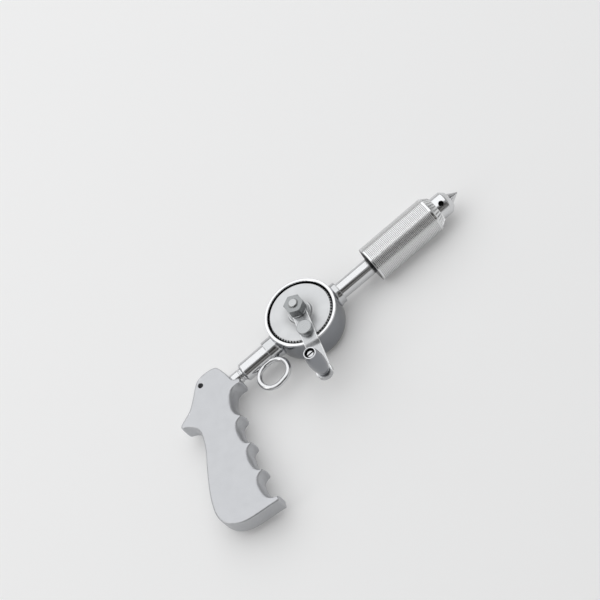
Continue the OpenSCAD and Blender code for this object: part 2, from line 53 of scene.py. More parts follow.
# %% [markdown]
# ## Sizes that several pieces share
# The spindle runs along X at one height and the crank's axle along Z, so almost
# every piece is turned round one of those two lines. A finish needs some sizes of its
# piece, to find an edge or a hole, so those are written once here.

# %% Shared sizes
AXIS_Z = 13.0
CUP_R = 25.0
CUP_H = 25.0
CUP_BORE_R = 22.7
TUBE_R = 5.8
BARREL_R = 6.65
WHEEL_TOP = 24.6
CRANK_R = 49.2
STUD_R_AT = 17.0
CRANK_TURN = math.radians(-105)
CRANK_WAY = Vector((math.cos(CRANK_TURN), math.sin(CRANK_TURN), 0))
STUD_AT = CRANK_WAY * STUD_R_AT
KNOB_AT = CRANK_WAY * CRANK_R
KNOB_Z = 26.5
KNOB_H = 24.4
KNOB_TOP = KNOB_Z + KNOB_H
RECESS_R = 3.4
HEAD_TOP = KNOB_TOP - 1.4
SLEEVE_R = 13.0
BEVEL_START = 106.8
NOSE_R = 8.3
NOSE_EDGE = 119.6
JAW_TIP = 130.0
KEY_TURN = math.radians(27)
THIRD = math.radians(120)
print("the knob stands at", [round(c, 1) for c in KNOB_AT])

# %% [markdown]
# ## The camera
# The photograph looks down on the crank at about 53 degrees, with the spindle
# running up to the right. Blender's own tools can aim a camera but not roll it, so
# its place is built from three directions: right, up and back.

# %% Camera
VIEW_TARGET = Vector((5.618, 15.785, 13.0)) * MM
VIEW_DISTANCE = 0.9
VIEW_AZIMUTH = math.radians(-2.67)
VIEW_ELEVATION = math.radians(53.384)
VIEW_ROLL = math.radians(-38.128)
VIEW_LENS = 81.8
SENSOR = 36.0


def look(target, distance, azimuth, elevation, roll):
    """Place of a camera that looks at the target, rolled about its line of sight."""
    forward = Vector((
        -math.sin(azimuth) * math.cos(elevation),
        math.cos(azimuth) * math.cos(elevation),
        -math.sin(elevation),
    ))
    level = Vector((math.cos(azimuth), math.sin(azimuth), 0))
    above = level.cross(forward)
    right = level * math.cos(roll) + above * math.sin(roll)
    up = above * math.cos(roll) - level * math.sin(roll)
    turn = Matrix((right, up, -forward)).transposed().to_4x4()
    return Matrix.Translation(target - forward * distance) @ turn


camera = bpy.data.objects.new("camera", bpy.data.cameras.new("camera"))
camera.data.sensor_width = SENSOR
camera.data.lens = VIEW_LENS
camera.matrix_world = look(VIEW_TARGET, VIEW_DISTANCE, VIEW_AZIMUTH, VIEW_ELEVATION, VIEW_ROLL)
scene.collection.objects.link(camera)
scene.camera = camera
scene.view_settings.view_transform = "Standard"
print("camera at", [round(c, 3) for c in camera.location])

# %% [markdown]
# ## Shader maths that reads as maths
# A Signal is one output of a material's nodes. Adding or multiplying Signals adds
# the Math nodes, so a finish can be written as a formula. Without it each sum would
# take three lines: a node, its option and its links.


# %% Signal
class Signal:
    """One output socket of a node."""

    def __init__(self, nodes, socket):
        self.nodes = nodes
        self.socket = socket

    def maths(self, operation, *values):
        return self.nodes.node("ShaderNodeMath", {"operation": operation}, dict(enumerate(values)))

    def __add__(self, other):
        return self.maths("ADD", self, other)

    def __sub__(self, other):
        return self.maths("SUBTRACT", self, other)

    def __rsub__(self, other):
        return self.maths("SUBTRACT", other, self)

    def __mul__(self, other):
        return self.maths("MULTIPLY", self, other)

    def __pow__(self, other):
        return self.maths("POWER", self, other)

    def __abs__(self):
        return self.maths("ABSOLUTE", self)

    __radd__ = __add__
    __rmul__ = __mul__

    def step(self, start, end):
        """Rises smoothly from 0 at start to 1 at end, which may be the lower of the two."""
        if start > end:
            return 1 - self.step(end, start)
        sockets = {"Value": self, "From Min": start, "From Max": end}
        return self.nodes.node("ShaderNodeMapRange", {"interpolation_type": "SMOOTHSTEP"}, sockets)


print("Signal:", Signal.__doc__)

# %% [markdown]
# ## Adding nodes
# Every other node comes from one method, which sets the node's options first,
# because they can change its sockets, and then fills the sockets. It serves
# materials and the world alike.


# %% Nodes
class Nodes:
    """The nodes of a material or of the world, and the ways to add to them."""

    def __init__(self, tree):
        self.tree = tree

    def feed(self, socket, value):
        if isinstance(value, Signal):
            self.tree.links.new(value.socket, socket)
        elif socket.type == "RGBA":
            socket.default_value = (*value, 1.0)
        else:
            socket.default_value = value

    def node(self, kind, options=None, sockets=None, output=0):
        node = self.tree.nodes.new(kind)
        for name, value in (options or {}).items():
            setattr(node, name, value)
        for key, value in (sockets or {}).items():
            self.feed(node.inputs[key], value)
        return Signal(self, node.outputs[output])

    def split(self, vector):
        node = self.node("ShaderNodeSeparateXYZ", sockets={0: vector}).socket.node
        return [Signal(self, socket) for socket in node.outputs]

    def mix(self, share, first, second):
        """A colour between two others."""
        sockets = {0: share, 6: first, 7: second}
        return self.node("ShaderNodeMix", {"data_type": "RGBA"}, sockets, output=2)


print("Nodes:", Nodes.__doc__)

# %% [markdown]
# ## A metal finish
# A finish is a material with one shader. It knows where a point of the surface is,
# in millimetres, and it has the three kinds of unevenness that worked metal shows:
# soft noise, lines across one direction, and relief made from either.


# %% Finish
class Finish(Nodes):
    """A material, its shader and the tools to work out its surface."""

    def __init__(self, name, color, roughness, metallic=1.0):
        self.material = bpy.data.materials.new(name)
        self.material.use_nodes = True
        super().__init__(self.material.node_tree)
        self.shader = self.tree.nodes["Principled BSDF"]
        self.set("Base Color", color)
        self.set("Roughness", roughness)
        self.set("Metallic", metallic)
        self.place = self.place_from((0, 0, 0))

    def set(self, socket, value):
        self.feed(self.shader.inputs[socket], value)

    def look(self, color, roughness, relief):
        """What varies over the surface: its colour, its gloss and its relief."""
        self.set("Base Color", color)
        self.set("Roughness", roughness)
        self.set("Normal", relief)
        print("made", self.material.name)

    def place_from(self, centre):
        """Where a point of the surface is, in millimetres from a centre."""
        metres = self.node("ShaderNodeTexCoord", output="Object")
        scaled = self.node(
            "ShaderNodeVectorMath", {"operation": "SCALE"}, {0: metres, "Scale": 1 / MM}
        )
        away = {0: scaled, 1: tuple(centre)}
        return self.node("ShaderNodeVectorMath", {"operation": "SUBTRACT"}, away)

    def stretch(self, vector, scale, turn=(0, 0, 0)):
        sockets = {"Vector": vector, "Scale": scale, "Rotation": turn}
        return self.node("ShaderNodeMapping", sockets=sockets)

    def noise(self, vector, scale, detail=2.0):
        """Soft random spots, about 1/scale of a millimetre wide."""
        sockets = {"Vector": vector, "Scale": scale, "Detail": detail}
        return self.node("ShaderNodeTexNoise", sockets=sockets)

    def lines(self, along, scale, detail=3.0):
        """Random lines across one direction, such as the marks of a lathe tool."""
        sockets = {"W": along, "Scale": scale, "Detail": detail}
        return self.node("ShaderNodeTexNoise", {"noise_dimensions": "1D"}, sockets)

    def bump(self, height, depth, over=None):
        """Relief of the given depth in millimetres, laid over an earlier relief."""
        sockets = {"Height": height, "Distance": depth * MM, "Strength": 1.0}
        if over is not None:
            sockets["Normal"] = over
        return self.node("ShaderNodeBump", sockets=sockets)


print("Finish:", Finish.__doc__)

# %% [markdown]
# ## What all the polished steel shares
# Polished steel is never perfect: it has a haze where it was handled, and hair
# scratches that only show in the gloss. The haze goes in the roughness. Scratches
# are noise that is stretched until its spots are long and thin, and then cut off so
# that only the peaks stay.

# %% Wear
STEEL = (0.58, 0.585, 0.595)
STEEL_DARK = (0.32, 0.32, 0.325)
STEEL_BRIGHT = (0.68, 0.685, 0.695)
# This colour is a painted dark reflection: the darkened colour of the cup's wall and the knob's
# body.
STEEL_PAINTED_DARK_REFLECTION = (0.26, 0.268, 0.285)


def haze(finish, roughness, spread):
    """Roughness that wanders by the spread, in patches a few millimetres across."""
    patches = finish.noise(finish.place, 0.16, 4.0)
    return roughness - spread / 2 + patches * spread


def scratches(finish, turn, amount=0.6):
    """Hair scratches: 1 where there is one, 0 on the clean surface."""
    long_spots = finish.noise(finish.stretch(finish.place, (0.05, 4.0, 1.5), turn), 1.0, 1.0)
    return long_spots.step(amount, amount + 0.1)


def round_spindle(finish):
    """Distance along the spindle's line and away from it."""
    x, y, z = finish.split(finish.place_from((0, 0, AXIS_Z)))
    return x, (y * y + z * z) ** 0.5


def round_upright(finish, centre=(0, 0, 0)):
    """Distance away from an upright line, and height."""
    x, y, z = finish.split(finish.place_from(centre))
    return (x * x + y * y) ** 0.5, z


print("plain steel is", STEEL, "and polished steel", STEEL_BRIGHT)

# %% [markdown]
# ## The grip's cast satin
# The grip is a casting that was brushed to a soft satin, so it looks paler and
# duller than the rest. Its surface has a fine grain, a slight unevenness from the
# mould, and edges that hands have rubbed brighter. Pointiness finds the edges,
# because the grip's skin is an even mesh of small faces.

# %% Cast satin
cast = Finish("cast_satin", (0.55, 0.555, 0.57), 0.4)
cast_grain = cast.noise(cast.place, 3.2, 3.0)
cast_swell = cast.noise(cast.place, 0.22, 2.0)
cast_brush = cast.noise(cast.stretch(cast.place, (0.25, 2.6, 2.6), (0, 0, 1.25)), 1.0, 2.0)
cast_edge = cast.node("ShaderNodeNewGeometry", output="Pointiness").step(0.505, 0.56)
cast_pale = cast_grain.step(0.35, 0.65) * 0.5 + cast_edge * 0.5
cast_relief = cast.bump(cast_swell, 0.25)
cast.look(
    cast.mix(cast_pale, (0.46, 0.467, 0.483), (0.54, 0.547, 0.56)),
    haze(cast, 0.4, 0.14) + cast_brush * 0.06 - cast_edge * 0.16,
    cast.bump(cast_grain + cast_brush, 0.012, cast_relief),
)

# %% [markdown]
# ## Turned and polished steel
# The tube, the barrel and the stem were turned on a lathe and then polished, which
# leaves faint rings round the spindle's line. One-dimensional noise along X gives
# rings of random depth, and they never repeat. The nut, the stud and the axle were
# turned round upright lines. The nut is the darkest, as in the photograph.


# %% Turned steel
def turned_finish(name, color, roughness, ring_depth, upright_at=None):
    """Steel with the lathe's rings round the spindle's line, or round an upright line."""
    finish = Finish(name, color, roughness)
    if upright_at is None:
        along, away = round_spindle(finish)
    else:
        away, along = round_upright(finish, upright_at)
    rings = finish.lines(along + away * 0.7, 5.0)
    marks = scratches(finish, (0.4, 0.9, 0.3)) + scratches(finish, (1.2, 0.1, 2.1))
    darker = tuple(c * 0.86 for c in color)
    finish.look(
        finish.mix(rings.step(0.3, 0.7), darker, color),
        haze(finish, roughness, 0.1) + rings * 0.05 + marks * 0.05,
        finish.bump(rings - marks * 0.6, ring_depth),
    )
    return finish


AXLE_AT = (0, 0, 0)
tube_steel = turned_finish("tube_steel", STEEL_BRIGHT, 0.13, 0.004)
barrel_steel = turned_finish("barrel_steel", STEEL_BRIGHT, 0.15, 0.004)
hidden_steel = turned_finish("spindle_steel", STEEL, 0.28, 0.008)
hub_steel = turned_finish("hub_steel", (0.48, 0.49, 0.495), 0.22, 0.005, AXLE_AT)
nut_steel = turned_finish("nut_steel", (0.30, 0.31, 0.314), 0.24, 0.005, AXLE_AT)
stud_steel = turned_finish("stud_steel", (0.42, 0.43, 0.436), 0.25, 0.003, STUD_AT)

# %% [markdown]
# ## The nose's steel
# The nose is turned too, and its drilled holes are painted near black, a painted
# shade for the inside of each hole. Between the bevel and the nose's front edge,
# whatever lies deeper than the turned surface is inside a hole, so a distance from
# the spindle is enough to find it.

# %% Nose steel
nose_steel = Finish("nose_steel", STEEL_BRIGHT, 0.18)
nose_along, nose_away = round_spindle(nose_steel)
nose_deep = nose_away.step(NOSE_R - 0.35, NOSE_R - 0.8)
nose_behind = nose_along.step(NOSE_EDGE - 0.4, NOSE_EDGE - 1.2)
# The holes' mask: where it is 1 the colour is a painted shade, near black.
nose_hole_painted_shade = nose_deep * nose_along.step(BEVEL_START + 0.2, BEVEL_START + 1.2) * nose_behind
nose_rings = nose_steel.lines(nose_along + nose_away * 0.7, 5.0)
nose_gloss = haze(nose_steel, 0.18, 0.1)
nose_steel.look(
    nose_steel.mix(nose_hole_painted_shade, STEEL_BRIGHT, (0.02, 0.02, 0.02)),
    nose_gloss + nose_rings * 0.05 + nose_hole_painted_shade * 0.4,
    nose_steel.bump(nose_rings, 0.005),
)

# %% [markdown]
# ## The polished cup, its painted rim highlight and painted dark wall
# The housing is polished almost to a mirror by hand, so its surface waves a little
# and bends the reflections. The waves are a wide, very shallow relief. The rim is
# painted brightest, a painted highlight; the wall below it is painted darkest, a
# painted dark reflection; and the bosses lie between. The bore just below the rim is
# painted near black, a painted shade. Height and distance tell them apart.

# %% Cup
# Painted highlight on the rim, painted dark reflection on the wall, painted shade in the bore.
RIM_PAINTED_HIGHLIGHT = (0.74, 0.745, 0.755)
BOSS_BRIGHT = (0.54, 0.546, 0.556)
CUP_BORE_PAINTED_SHADE = (0.12, 0.115, 0.11)
cup_steel = Finish("cup_chrome", STEEL_BRIGHT, 0.1)
cup_marks = scratches(cup_steel, (0.7, 0.2, 1.1))
cup_marks = cup_marks + scratches(cup_steel, (0.1, 1.3, 0.4))
cup_away, cup_up = round_upright(cup_steel)
cup_rings = cup_steel.lines(cup_up + cup_away, 4.0)
# The bore's mask: where it is 1 the colour is the painted shade.
cup_inside = cup_away.step(CUP_BORE_R + 0.05, CUP_BORE_R - 0.15)
cup_inside = cup_inside * cup_up.step(CUP_H - 0.2, CUP_H - 1.6)
# The wall's mask: where it is 1 the colour is the painted dark reflection.
cup_wall_painted_dark = cup_away.step(CUP_R + 1.2, CUP_R + 0.3) * cup_up.step(CUP_H - 0.3, CUP_H - 0.9)
cup_boss = cup_away.step(CUP_R + 0.4, CUP_R + 1.4)
cup_painted_tones = cup_steel.mix(cup_wall_painted_dark, cup_steel.mix(cup_boss, RIM_PAINTED_HIGHLIGHT, BOSS_BRIGHT), STEEL_PAINTED_DARK_REFLECTION)
cup_gloss = haze(cup_steel, 0.11, 0.07)
cup_waves = cup_steel.bump(cup_steel.noise(cup_steel.place, 0.14, 1.0), 0.12)
cup_steel.look(
    cup_steel.mix(cup_inside, cup_painted_tones, CUP_BORE_PAINTED_SHADE),
    cup_gloss + cup_marks * 0.05 + cup_inside * 0.3,
    cup_steel.bump(cup_rings * 0.5 - cup_marks, 0.003, cup_waves),
)

# %% [markdown]
# ## The wheel's satin face
# The face was turned in fine circles and left satin, and anisotropy stretches its
# gloss across those circles. Below the rim the teeth are painted near black, a
# painted shade for the narrow gap they sit in.

# %% Wheel
wheel_satin = Finish("wheel_satin", STEEL, 0.34)
wheel_satin.set("Anisotropic", 0.45)
wheel_away, wheel_up = round_upright(wheel_satin)
wheel_rings = wheel_satin.lines(wheel_away, 4.5, 4.0)
# Painted shade: everything below the wheel's top is coloured near black.
wheel_teeth_painted_shade = wheel_up.step(WHEEL_TOP - 0.3, WHEEL_TOP - 1.2)
wheel_blotch = wheel_satin.noise(wheel_satin.place, 0.13, 3.0).step(0.3, 0.7)
wheel_pale = wheel_rings * 0.6 + wheel_blotch * 0.3
wheel_metal = wheel_satin.mix(wheel_pale, (0.48, 0.487, 0.494), (0.6, 0.607, 0.612))
wheel_satin.look(
    wheel_satin.mix(wheel_teeth_painted_shade, wheel_metal, (0.05, 0.048, 0.045)),
    haze(wheel_satin, 0.34, 0.08) + wheel_rings * 0.06,
    wheel_satin.bump(wheel_rings, 0.02),
)

# %% [markdown]
# ## The arm's brushed flats
# The arm was ground on a belt, along its own length, and then polished, so its
# lines are straight and run from the axle to the knob. Its two long edges are
# painted bright, a painted highlight. A Mapping node turns the arm's line onto X,
# and then the distance from that line finds both edges at once.

# %% Arm
ARM_W = 10.2
ARM_HALF = ARM_W / 2
arm_steel = Finish("arm_steel", STEEL_BRIGHT, 0.24)
to_arm = (0, 0, -CRANK_TURN)
arm_lines = arm_steel.noise(arm_steel.stretch(arm_steel.place, (0.06, 5.0, 5.0), to_arm), 1.0, 3.0)
arm_marks = scratches(arm_steel, (0.3, 0.2, 0.9))
arm_side = abs(arm_steel.split(arm_steel.stretch(arm_steel.place, (1, 1, 1), to_arm))[1])
# Painted highlight: the two long edges are coloured bright.
arm_edge_painted_highlight = arm_side.step(ARM_HALF - 0.55, ARM_HALF - 0.3)
arm_edge_painted_highlight = arm_edge_painted_highlight * arm_side.step(ARM_HALF + 0.25, ARM_HALF + 0.1)
arm_pale = arm_lines.step(0.3, 0.7)
arm_flat = arm_steel.mix(arm_pale, (0.41, 0.417, 0.425), (0.5, 0.507, 0.515))
arm_gloss = haze(arm_steel, 0.25, 0.08)
arm_steel.look(
    arm_steel.mix(arm_edge_painted_highlight, arm_flat, (0.82, 0.825, 0.83)),
    arm_gloss + arm_lines * 0.06 + arm_marks * 0.06,
    arm_steel.bump(arm_lines - arm_marks, 0.008),
)

# %% [markdown]
# ## The sleeve's ribs
# Each rib catches the light, and each groove is painted darker: a little dark dirt,
# and a painted shade too. How far a point lies from the spindle tells which of the
# two it is on. The toothed bevel is kept out of it by its place along X, and the bore
# is painted darker still, a painted shade.

# %% Sleeve
sleeve_steel = Finish("sleeve_steel", STEEL_BRIGHT, 0.17)
sleeve_along, sleeve_away = round_spindle(sleeve_steel)
sleeve_depth = sleeve_away.step(SLEEVE_R - 0.04, SLEEVE_R - 0.28)
sleeve_depth = sleeve_depth * sleeve_along.step(BEVEL_START + 0.4, BEVEL_START - 0.2)
# The bore's mask: where it is 1 the colour is a painted shade.
sleeve_bore_painted_shade = sleeve_away.step(SLEEVE_R - 1.6, SLEEVE_R - 1.9)
sleeve_bore_painted_shade = sleeve_bore_painted_shade * sleeve_along.step(BEVEL_START - 0.3, BEVEL_START - 1.3)
sleeve_rings = sleeve_steel.lines(sleeve_along, 7.0)
sleeve_marks = scratches(sleeve_steel, (0.2, 0.2, 0.3), 0.62)
# The grooves' darkening is partly dirt and partly painted shade.
sleeve_groove_dirt_and_shade = sleeve_depth * (0.45 + sleeve_steel.noise(sleeve_steel.place, 0.5, 3.0) * 0.5)
sleeve_metal = sleeve_steel.mix(sleeve_groove_dirt_and_shade, (0.74, 0.745, 0.75), (0.36, 0.355, 0.35))
sleeve_gloss = haze(sleeve_steel, 0.18, 0.08)
sleeve_steel.look(
    sleeve_steel.mix(sleeve_bore_painted_shade, sleeve_metal, (0.2, 0.2, 0.2)),
    sleeve_gloss + sleeve_depth * 0.18 + sleeve_marks * 0.1,
    sleeve_steel.bump(sleeve_rings - sleeve_marks * 0.5, 0.004),
)

# %% [markdown]
# ## The knob and its screw
# The knob is buffed like the cup. Its body is painted dark, a painted dark
# reflection, and its lip is painted bright, a painted highlight. Its recess is
# painted black down to the screw, and so is the screw's slot: both are painted
# shade. Height and distance find both.

# %% Knob and screw
# Painted highlight on the lip, painted dark reflection on the body, painted shade in the recess.
LIP_PAINTED_HIGHLIGHT = (0.62, 0.626, 0.64)
knob_steel = Finish("knob_chrome", STEEL_BRIGHT, 0.1)
knob_away, knob_up = round_upright(knob_steel, KNOB_AT)
knob_recess_painted_shade = knob_away.step(RECESS_R + 0.1, RECESS_R) * knob_up.step(KNOB_TOP - 0.3, KNOB_TOP - 1.2)
knob_painted_tones = knob_steel.mix(knob_up.step(KNOB_TOP - 0.7, KNOB_TOP - 0.2), STEEL_PAINTED_DARK_REFLECTION, LIP_PAINTED_HIGHLIGHT)
knob_gloss = haze(knob_steel, 0.11, 0.08)
knob_steel.look(
    knob_steel.mix(knob_recess_painted_shade, knob_painted_tones, (0.05, 0.05, 0.05)),
    knob_gloss + knob_recess_painted_shade * 0.4,
    knob_steel.bump(knob_steel.lines(knob_up, 4.0), 0.003),
)

screw_steel = Finish("screw_steel", STEEL, 0.22)
screw_away, screw_up = round_upright(screw_steel, KNOB_AT)
# Painted shade: the slot below the head's top is coloured near black.
screw_slot_painted_shade = screw_up.step(HEAD_TOP - 0.15, HEAD_TOP - 0.4)
screw_steel.look(
    screw_steel.mix(screw_slot_painted_shade, (0.56, 0.566, 0.575), (0.03, 0.03, 0.03)),
    haze(screw_steel, 0.24, 0.1),
    screw_steel.bump(screw_steel.lines(screw_away, 5.0), 0.006),
)

# %% [markdown]
# ## The jaws' ground steel
# The jaws are hardened and then ground to their points. Grinding leaves fine lines
# across the cone, so the lines follow both distances, along the spindle and from it.

# %% Jaw steel
jaw_steel = Finish("jaw_steel", (0.5, 0.505, 0.515), 0.24)
jaw_along, jaw_away = round_spindle(jaw_steel)
jaw_lines = jaw_steel.lines(jaw_along - jaw_away * 0.5, 6.0)
jaw_steel.look(
    jaw_steel.mix(jaw_lines, STEEL, (0.70, 0.705, 0.715)),
    haze(jaw_steel, 0.26, 0.1),
    jaw_steel.bump(jaw_lines, 0.008),
)

# %% [markdown]
# ## Greased teeth and bronze bearings
# The pinion and the chuck's ring are cut steel under a film of grease, which is
# darker and glossier where it lies thick. The bearings are sintered bronze, full of
# tiny pores that hold oil: a noise cut off near its peaks makes them.

# %% Teeth and bearings
tooth_steel = Finish("tooth_steel", STEEL_DARK, 0.38)
tooth_grease = tooth_steel.noise(tooth_steel.place, 0.6, 3.0).step(0.35, 0.65)
tooth_steel.look(
    tooth_steel.mix(tooth_grease, STEEL_DARK, (0.17, 0.16, 0.14)),
    haze(tooth_steel, 0.4, 0.1) - tooth_grease * 0.15,
    tooth_steel.bump(tooth_steel.noise(tooth_steel.place, 3.0, 2.0), 0.01),
)

bronze = Finish("bearing_bronze", (0.62, 0.42, 0.2), 0.34)
bronze_pores = bronze.noise(bronze.place, 5.0, 2.0).step(0.55, 0.7)
bronze.look(
    bronze.mix(bronze_pores, (0.64, 0.44, 0.22), (0.34, 0.22, 0.11)),
    haze(bronze, 0.36, 0.1) + bronze_pores * 0.15,
    bronze.bump(1 - bronze_pores, 0.01),
)

# %% [markdown]
# ## The lathe
# Most pieces of this drill are turned, so one tool makes them as a lathe would: a
# flat half section is spun once round its line. Its corners are rounded first, with
# a vertex bevel, which is simpler than to bevel the finished solid. The face goes
# before the spin, and so does the edge on the axis, or they would stay inside.

# %% Lathe
CLOSE = 1e-5


def rounding_steps(rounding):
    if rounding > 2:
        return 6
    return 4 if rounding > 0.3 else 2


def lathe(profile, steps=96, place=Matrix.Identity(4)):
    """Spins a half section round X. Its points are (along, radius, rounding)."""
    bm = bmesh.new()
    corners = [bm.verts.new((along, 0, radius)) for along, radius, _ in profile]
    bm.faces.new(corners)
    for corner, (_, _, rounding) in zip(corners, profile):
        if rounding:
            bmesh.ops.bevel(
                bm, geom=[corner], offset=rounding, segments=rounding_steps(rounding),
                affect="VERTICES", profile=0.5, material=-1,
            )
    bmesh.ops.delete(bm, geom=bm.faces[:], context="FACES_ONLY")
    axis = [e for e in bm.edges if all(abs(v.co.z) < CLOSE for v in e.verts)]
    bmesh.ops.delete(bm, geom=axis, context="EDGES")
    bmesh.ops.spin(
        bm, geom=bm.verts[:] + bm.edges[:], cent=(0, 0, 0), axis=(1, 0, 0),
        angle=2 * math.pi, steps=steps, use_merge=True,
    )
    bmesh.ops.remove_doubles(bm, verts=bm.verts, dist=CLOSE)
    bmesh.ops.recalc_face_normals(bm, faces=bm.faces)
    bmesh.ops.transform(bm, matrix=place, verts=bm.verts)
    return bm


def bar(profile, steps=96, place=Matrix.Identity(4)):
    """A turned piece without a bore, so its section is closed on the axis."""
    return lathe([(profile[0][0], 0, 0), *profile, (profile[-1][0], 0, 0)], steps, place)


print("lathe:", lathe.__doc__)

# %% [markdown]
# ## Two lines to turn round
# The lathe works round X, which is the spindle's direction. A piece that stands
# upright is tipped from X to Z first.

# %% The two lines
ALONG_Z = Matrix.Rotation(-math.pi / 2, 4, "Y")


def on_spindle(turn=0.0):
    """From a lathe's own line to the spindle's."""
    return Matrix.Translation((0, 0, AXIS_Z)) @ Matrix.Rotation(turn, 4, "X")


def upright(x=0.0, y=0.0, z=0.0):
    """From a lathe's own line to an upright one."""
    return Matrix.Translation((x, y, z)) @ ALONG_Z


print("the spindle's line lies", AXIS_Z, "mm high")

# %% [markdown]
# ## Joining and cutting
# Holes and joins are Boolean modifiers, worked out at once so that no live modifier
# is left on a piece. The Manifold solver is quick and reliable for closed solids,
# and all of these are closed.


# %% Joining and cutting
def linked(bm, name="helper"):
    """An object made of a bmesh and linked to the scene."""
    mesh = bpy.data.meshes.new(name)
    bm.to_mesh(mesh)
    bm.free()
    thing = bpy.data.objects.new(name, mesh)
    scene.collection.objects.link(thing)
    return thing


def settle(thing, *helpers):
    """What an object's modifiers make of it, as a new bmesh."""
    bm = bmesh.new()
    bm.from_object(thing, bpy.context.evaluated_depsgraph_get())
    for used in (thing, *helpers):
        mesh = used.data
        bpy.data.objects.remove(used)
        bpy.data.meshes.remove(mesh)
    return bm


def combine(bm, others, operation):
    """Joins solids to a solid, cuts them from it, or keeps what they share."""
    base = linked(bm)
    helpers = [linked(other) for other in others]
    for helper in helpers:
        modifier = base.modifiers.new("combine", "BOOLEAN")
        modifier.operation = operation
        modifier.solver = "MANIFOLD"
        modifier.object = helper
    return settle(base, *helpers)


def box(size, centre, place=Matrix.Identity(4)):
    bm = bmesh.new()
    matrix = place @ Matrix.Translation(centre) @ Matrix.Diagonal((*size, 1))
    bmesh.ops.create_cube(bm, size=1, matrix=matrix)
    return bm


def round_edges(bm, axis, offset):
    """Rounds the edges of a straight solid that run along one axis."""
    edges = [e for e in bm.edges if abs((e.verts[0].co - e.verts[1].co)[axis]) > 1]
    bmesh.ops.bevel(
        bm, geom=edges, offset=offset, segments=3, affect="EDGES", profile=0.5, material=-1,
    )


def rod(radius, start, end, place, segments=64, flare=0.0):
    """A round cutter along X, with a flare at its far end for a broken edge."""
    side = [(end, radius, 0)]
    if flare:
        side = [(end - flare, radius, 0), (end, radius + flare, 0)]
    return bar([(start, radius, 0), *side], segments, place)


print("combine:", combine.__doc__)

# %% [markdown] ## Finishing a piece The last step is the same for all
# pieces. The mesh is scaled to metres and shaded smooth but for its sharp edges.
# Where a solid's own shape is wanted, a copy of it is the start of the piece.

# %% Dressing
SHARP = math.radians(32)
SHARPER = math.radians(28)
SHARPEST = math.radians(24)
SOFT = math.radians(80)


def dress(name, bm, finish, body, stands_for, slot, sharp=SHARP):
    """Makes a finished piece of a bmesh: to metres, smooth but for its sharp edges."""
    bmesh.ops.scale(bm, vec=(MM, MM, MM), verts=bm.verts)
    piece = linked(bm, name)
    mesh = piece.data
    mesh.polygons.foreach_set("use_smooth", [True] * len(mesh.polygons))
    mesh.set_sharp_from_angle(angle=sharp)
    mesh.materials.append(finish.material)
    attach(piece, body)
    if stands_for:
        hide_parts(*stands_for)
    print(name, "has", len(mesh.polygons), "faces")


def solid_copy(node):
    """A closed copy of a solid, in millimetres."""
    bm = bmesh.new()
    bm.from_mesh(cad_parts[node].data)
    bmesh.ops.remove_doubles(bm, verts=bm.verts, dist=1e-7)
    bmesh.ops.scale(bm, vec=(1 / MM, 1 / MM, 1 / MM), verts=bm.verts)
    return bm


print("dress:", dress.__doc__)

# %% [markdown]
# ## The grip
# A real cast grip has no hard edge anywhere. A bevel would have to follow four
# finger grooves and their swelling walls, so it is easier to copy the solid, rebuild
# its skin from small cubes and let it relax: that rounds every edge by about half a
# millimetre and leaves the flat sides flat.

# %% Grip
VOXEL = 0.5
RELAX = 5


def soft_copy(node):
    """A copy of a solid with a fine even skin and softened edges."""
    thing = linked(solid_copy(node))
    remesh = thing.modifiers.new("skin", "REMESH")
    remesh.mode = "VOXEL"
    remesh.voxel_size = VOXEL
    smooth = thing.modifiers.new("relax", "SMOOTH")
    smooth.iterations = RELAX
    return settle(thing)


dress("cast_grip", soft_copy("grip"), cast, "frame", ["grip"], "cast_grip", SOFT)

# %% [markdown]
# ## The stem
# The stem is one turned bar: a spigot for the grip, a neck with a small groove just
# before the barrel, and a spigot for the barrel. Only its rounded edges matter,
# because on polished steel an edge is where the light sits.

# %% Stem
STEM_START = -80.0
STEM_END = -38.0
STEM_R = 3.2
NECK_START = -62.9
NECK_R = 4.65
BARREL_START = -54.0
GROOVE = BARREL_START - 1.5
GROOVE_R = NECK_R - 0.4
dress("stem", bar([
    (STEM_START, STEM_R, 0.4), (NECK_START, STEM_R, 0),
    (NECK_START, NECK_R, 0.2), (GROOVE - 0.7, NECK_R, 0.2), (GROOVE - 0.3, GROOVE_R, 0),
    (GROOVE + 0.3, GROOVE_R, 0), (GROOVE + 0.6, NECK_R, 0.15), (BARREL_START, NECK_R, 0),
    (BARREL_START, STEM_R, 0), (STEM_END, STEM_R, 0.4),
], place=on_spindle()), barrel_steel, "frame", ["grip_stem"], "polished_steel")

# %% [markdown]
# ## The barrel
# The barrel is a plain bar with a chamfer where the stem goes in. It is spun in more
# steps than the stem, because it is thicker and its outline would show corners.

# %% Barrel
BARREL_END = -25.6
BARREL_CHAMFER = 1.2
dress("barrel", lathe([
    (BARREL_START, STEM_R, 0), (BARREL_START, BARREL_R - BARREL_CHAMFER, 0.5),
    (BARREL_START + BARREL_CHAMFER, BARREL_R, 0.5), (BARREL_END, BARREL_R, 0),
    (BARREL_END, 0, 0), (STEM_END, 0, 0), (STEM_END, STEM_R, 0),
], steps=128, place=on_spindle()), barrel_steel, "frame", ["rear_barrel"], "polished_steel")

# %% [markdown]
# ## The finger ring
# The ring is a round wire bent to a stadium and brazed under the barrel. One circle
# is spun half a turn, carried along the straight side, spun again and bridged to
# where it began. The braze is a small flattened drop where ring and barrel touch.

# %% Finger ring
RING_R = 8.95
RING_WIRE = 1.85
RING_STRETCH = 3.3
RING_TURN = math.radians(10)
RING_AT = (-38.3, -15.6, AXIS_Z)
BRAZE_AT = (-38.6, -6.9, AXIS_Z)
BRAZE_SIZE = (6.2, 1.5, 2.1)


def verts_of(geometry):
    return [g for g in geometry if isinstance(g, bmesh.types.BMVert)]


def edges_of(geometry):
    return [g for g in geometry if isinstance(g, bmesh.types.BMEdge)]


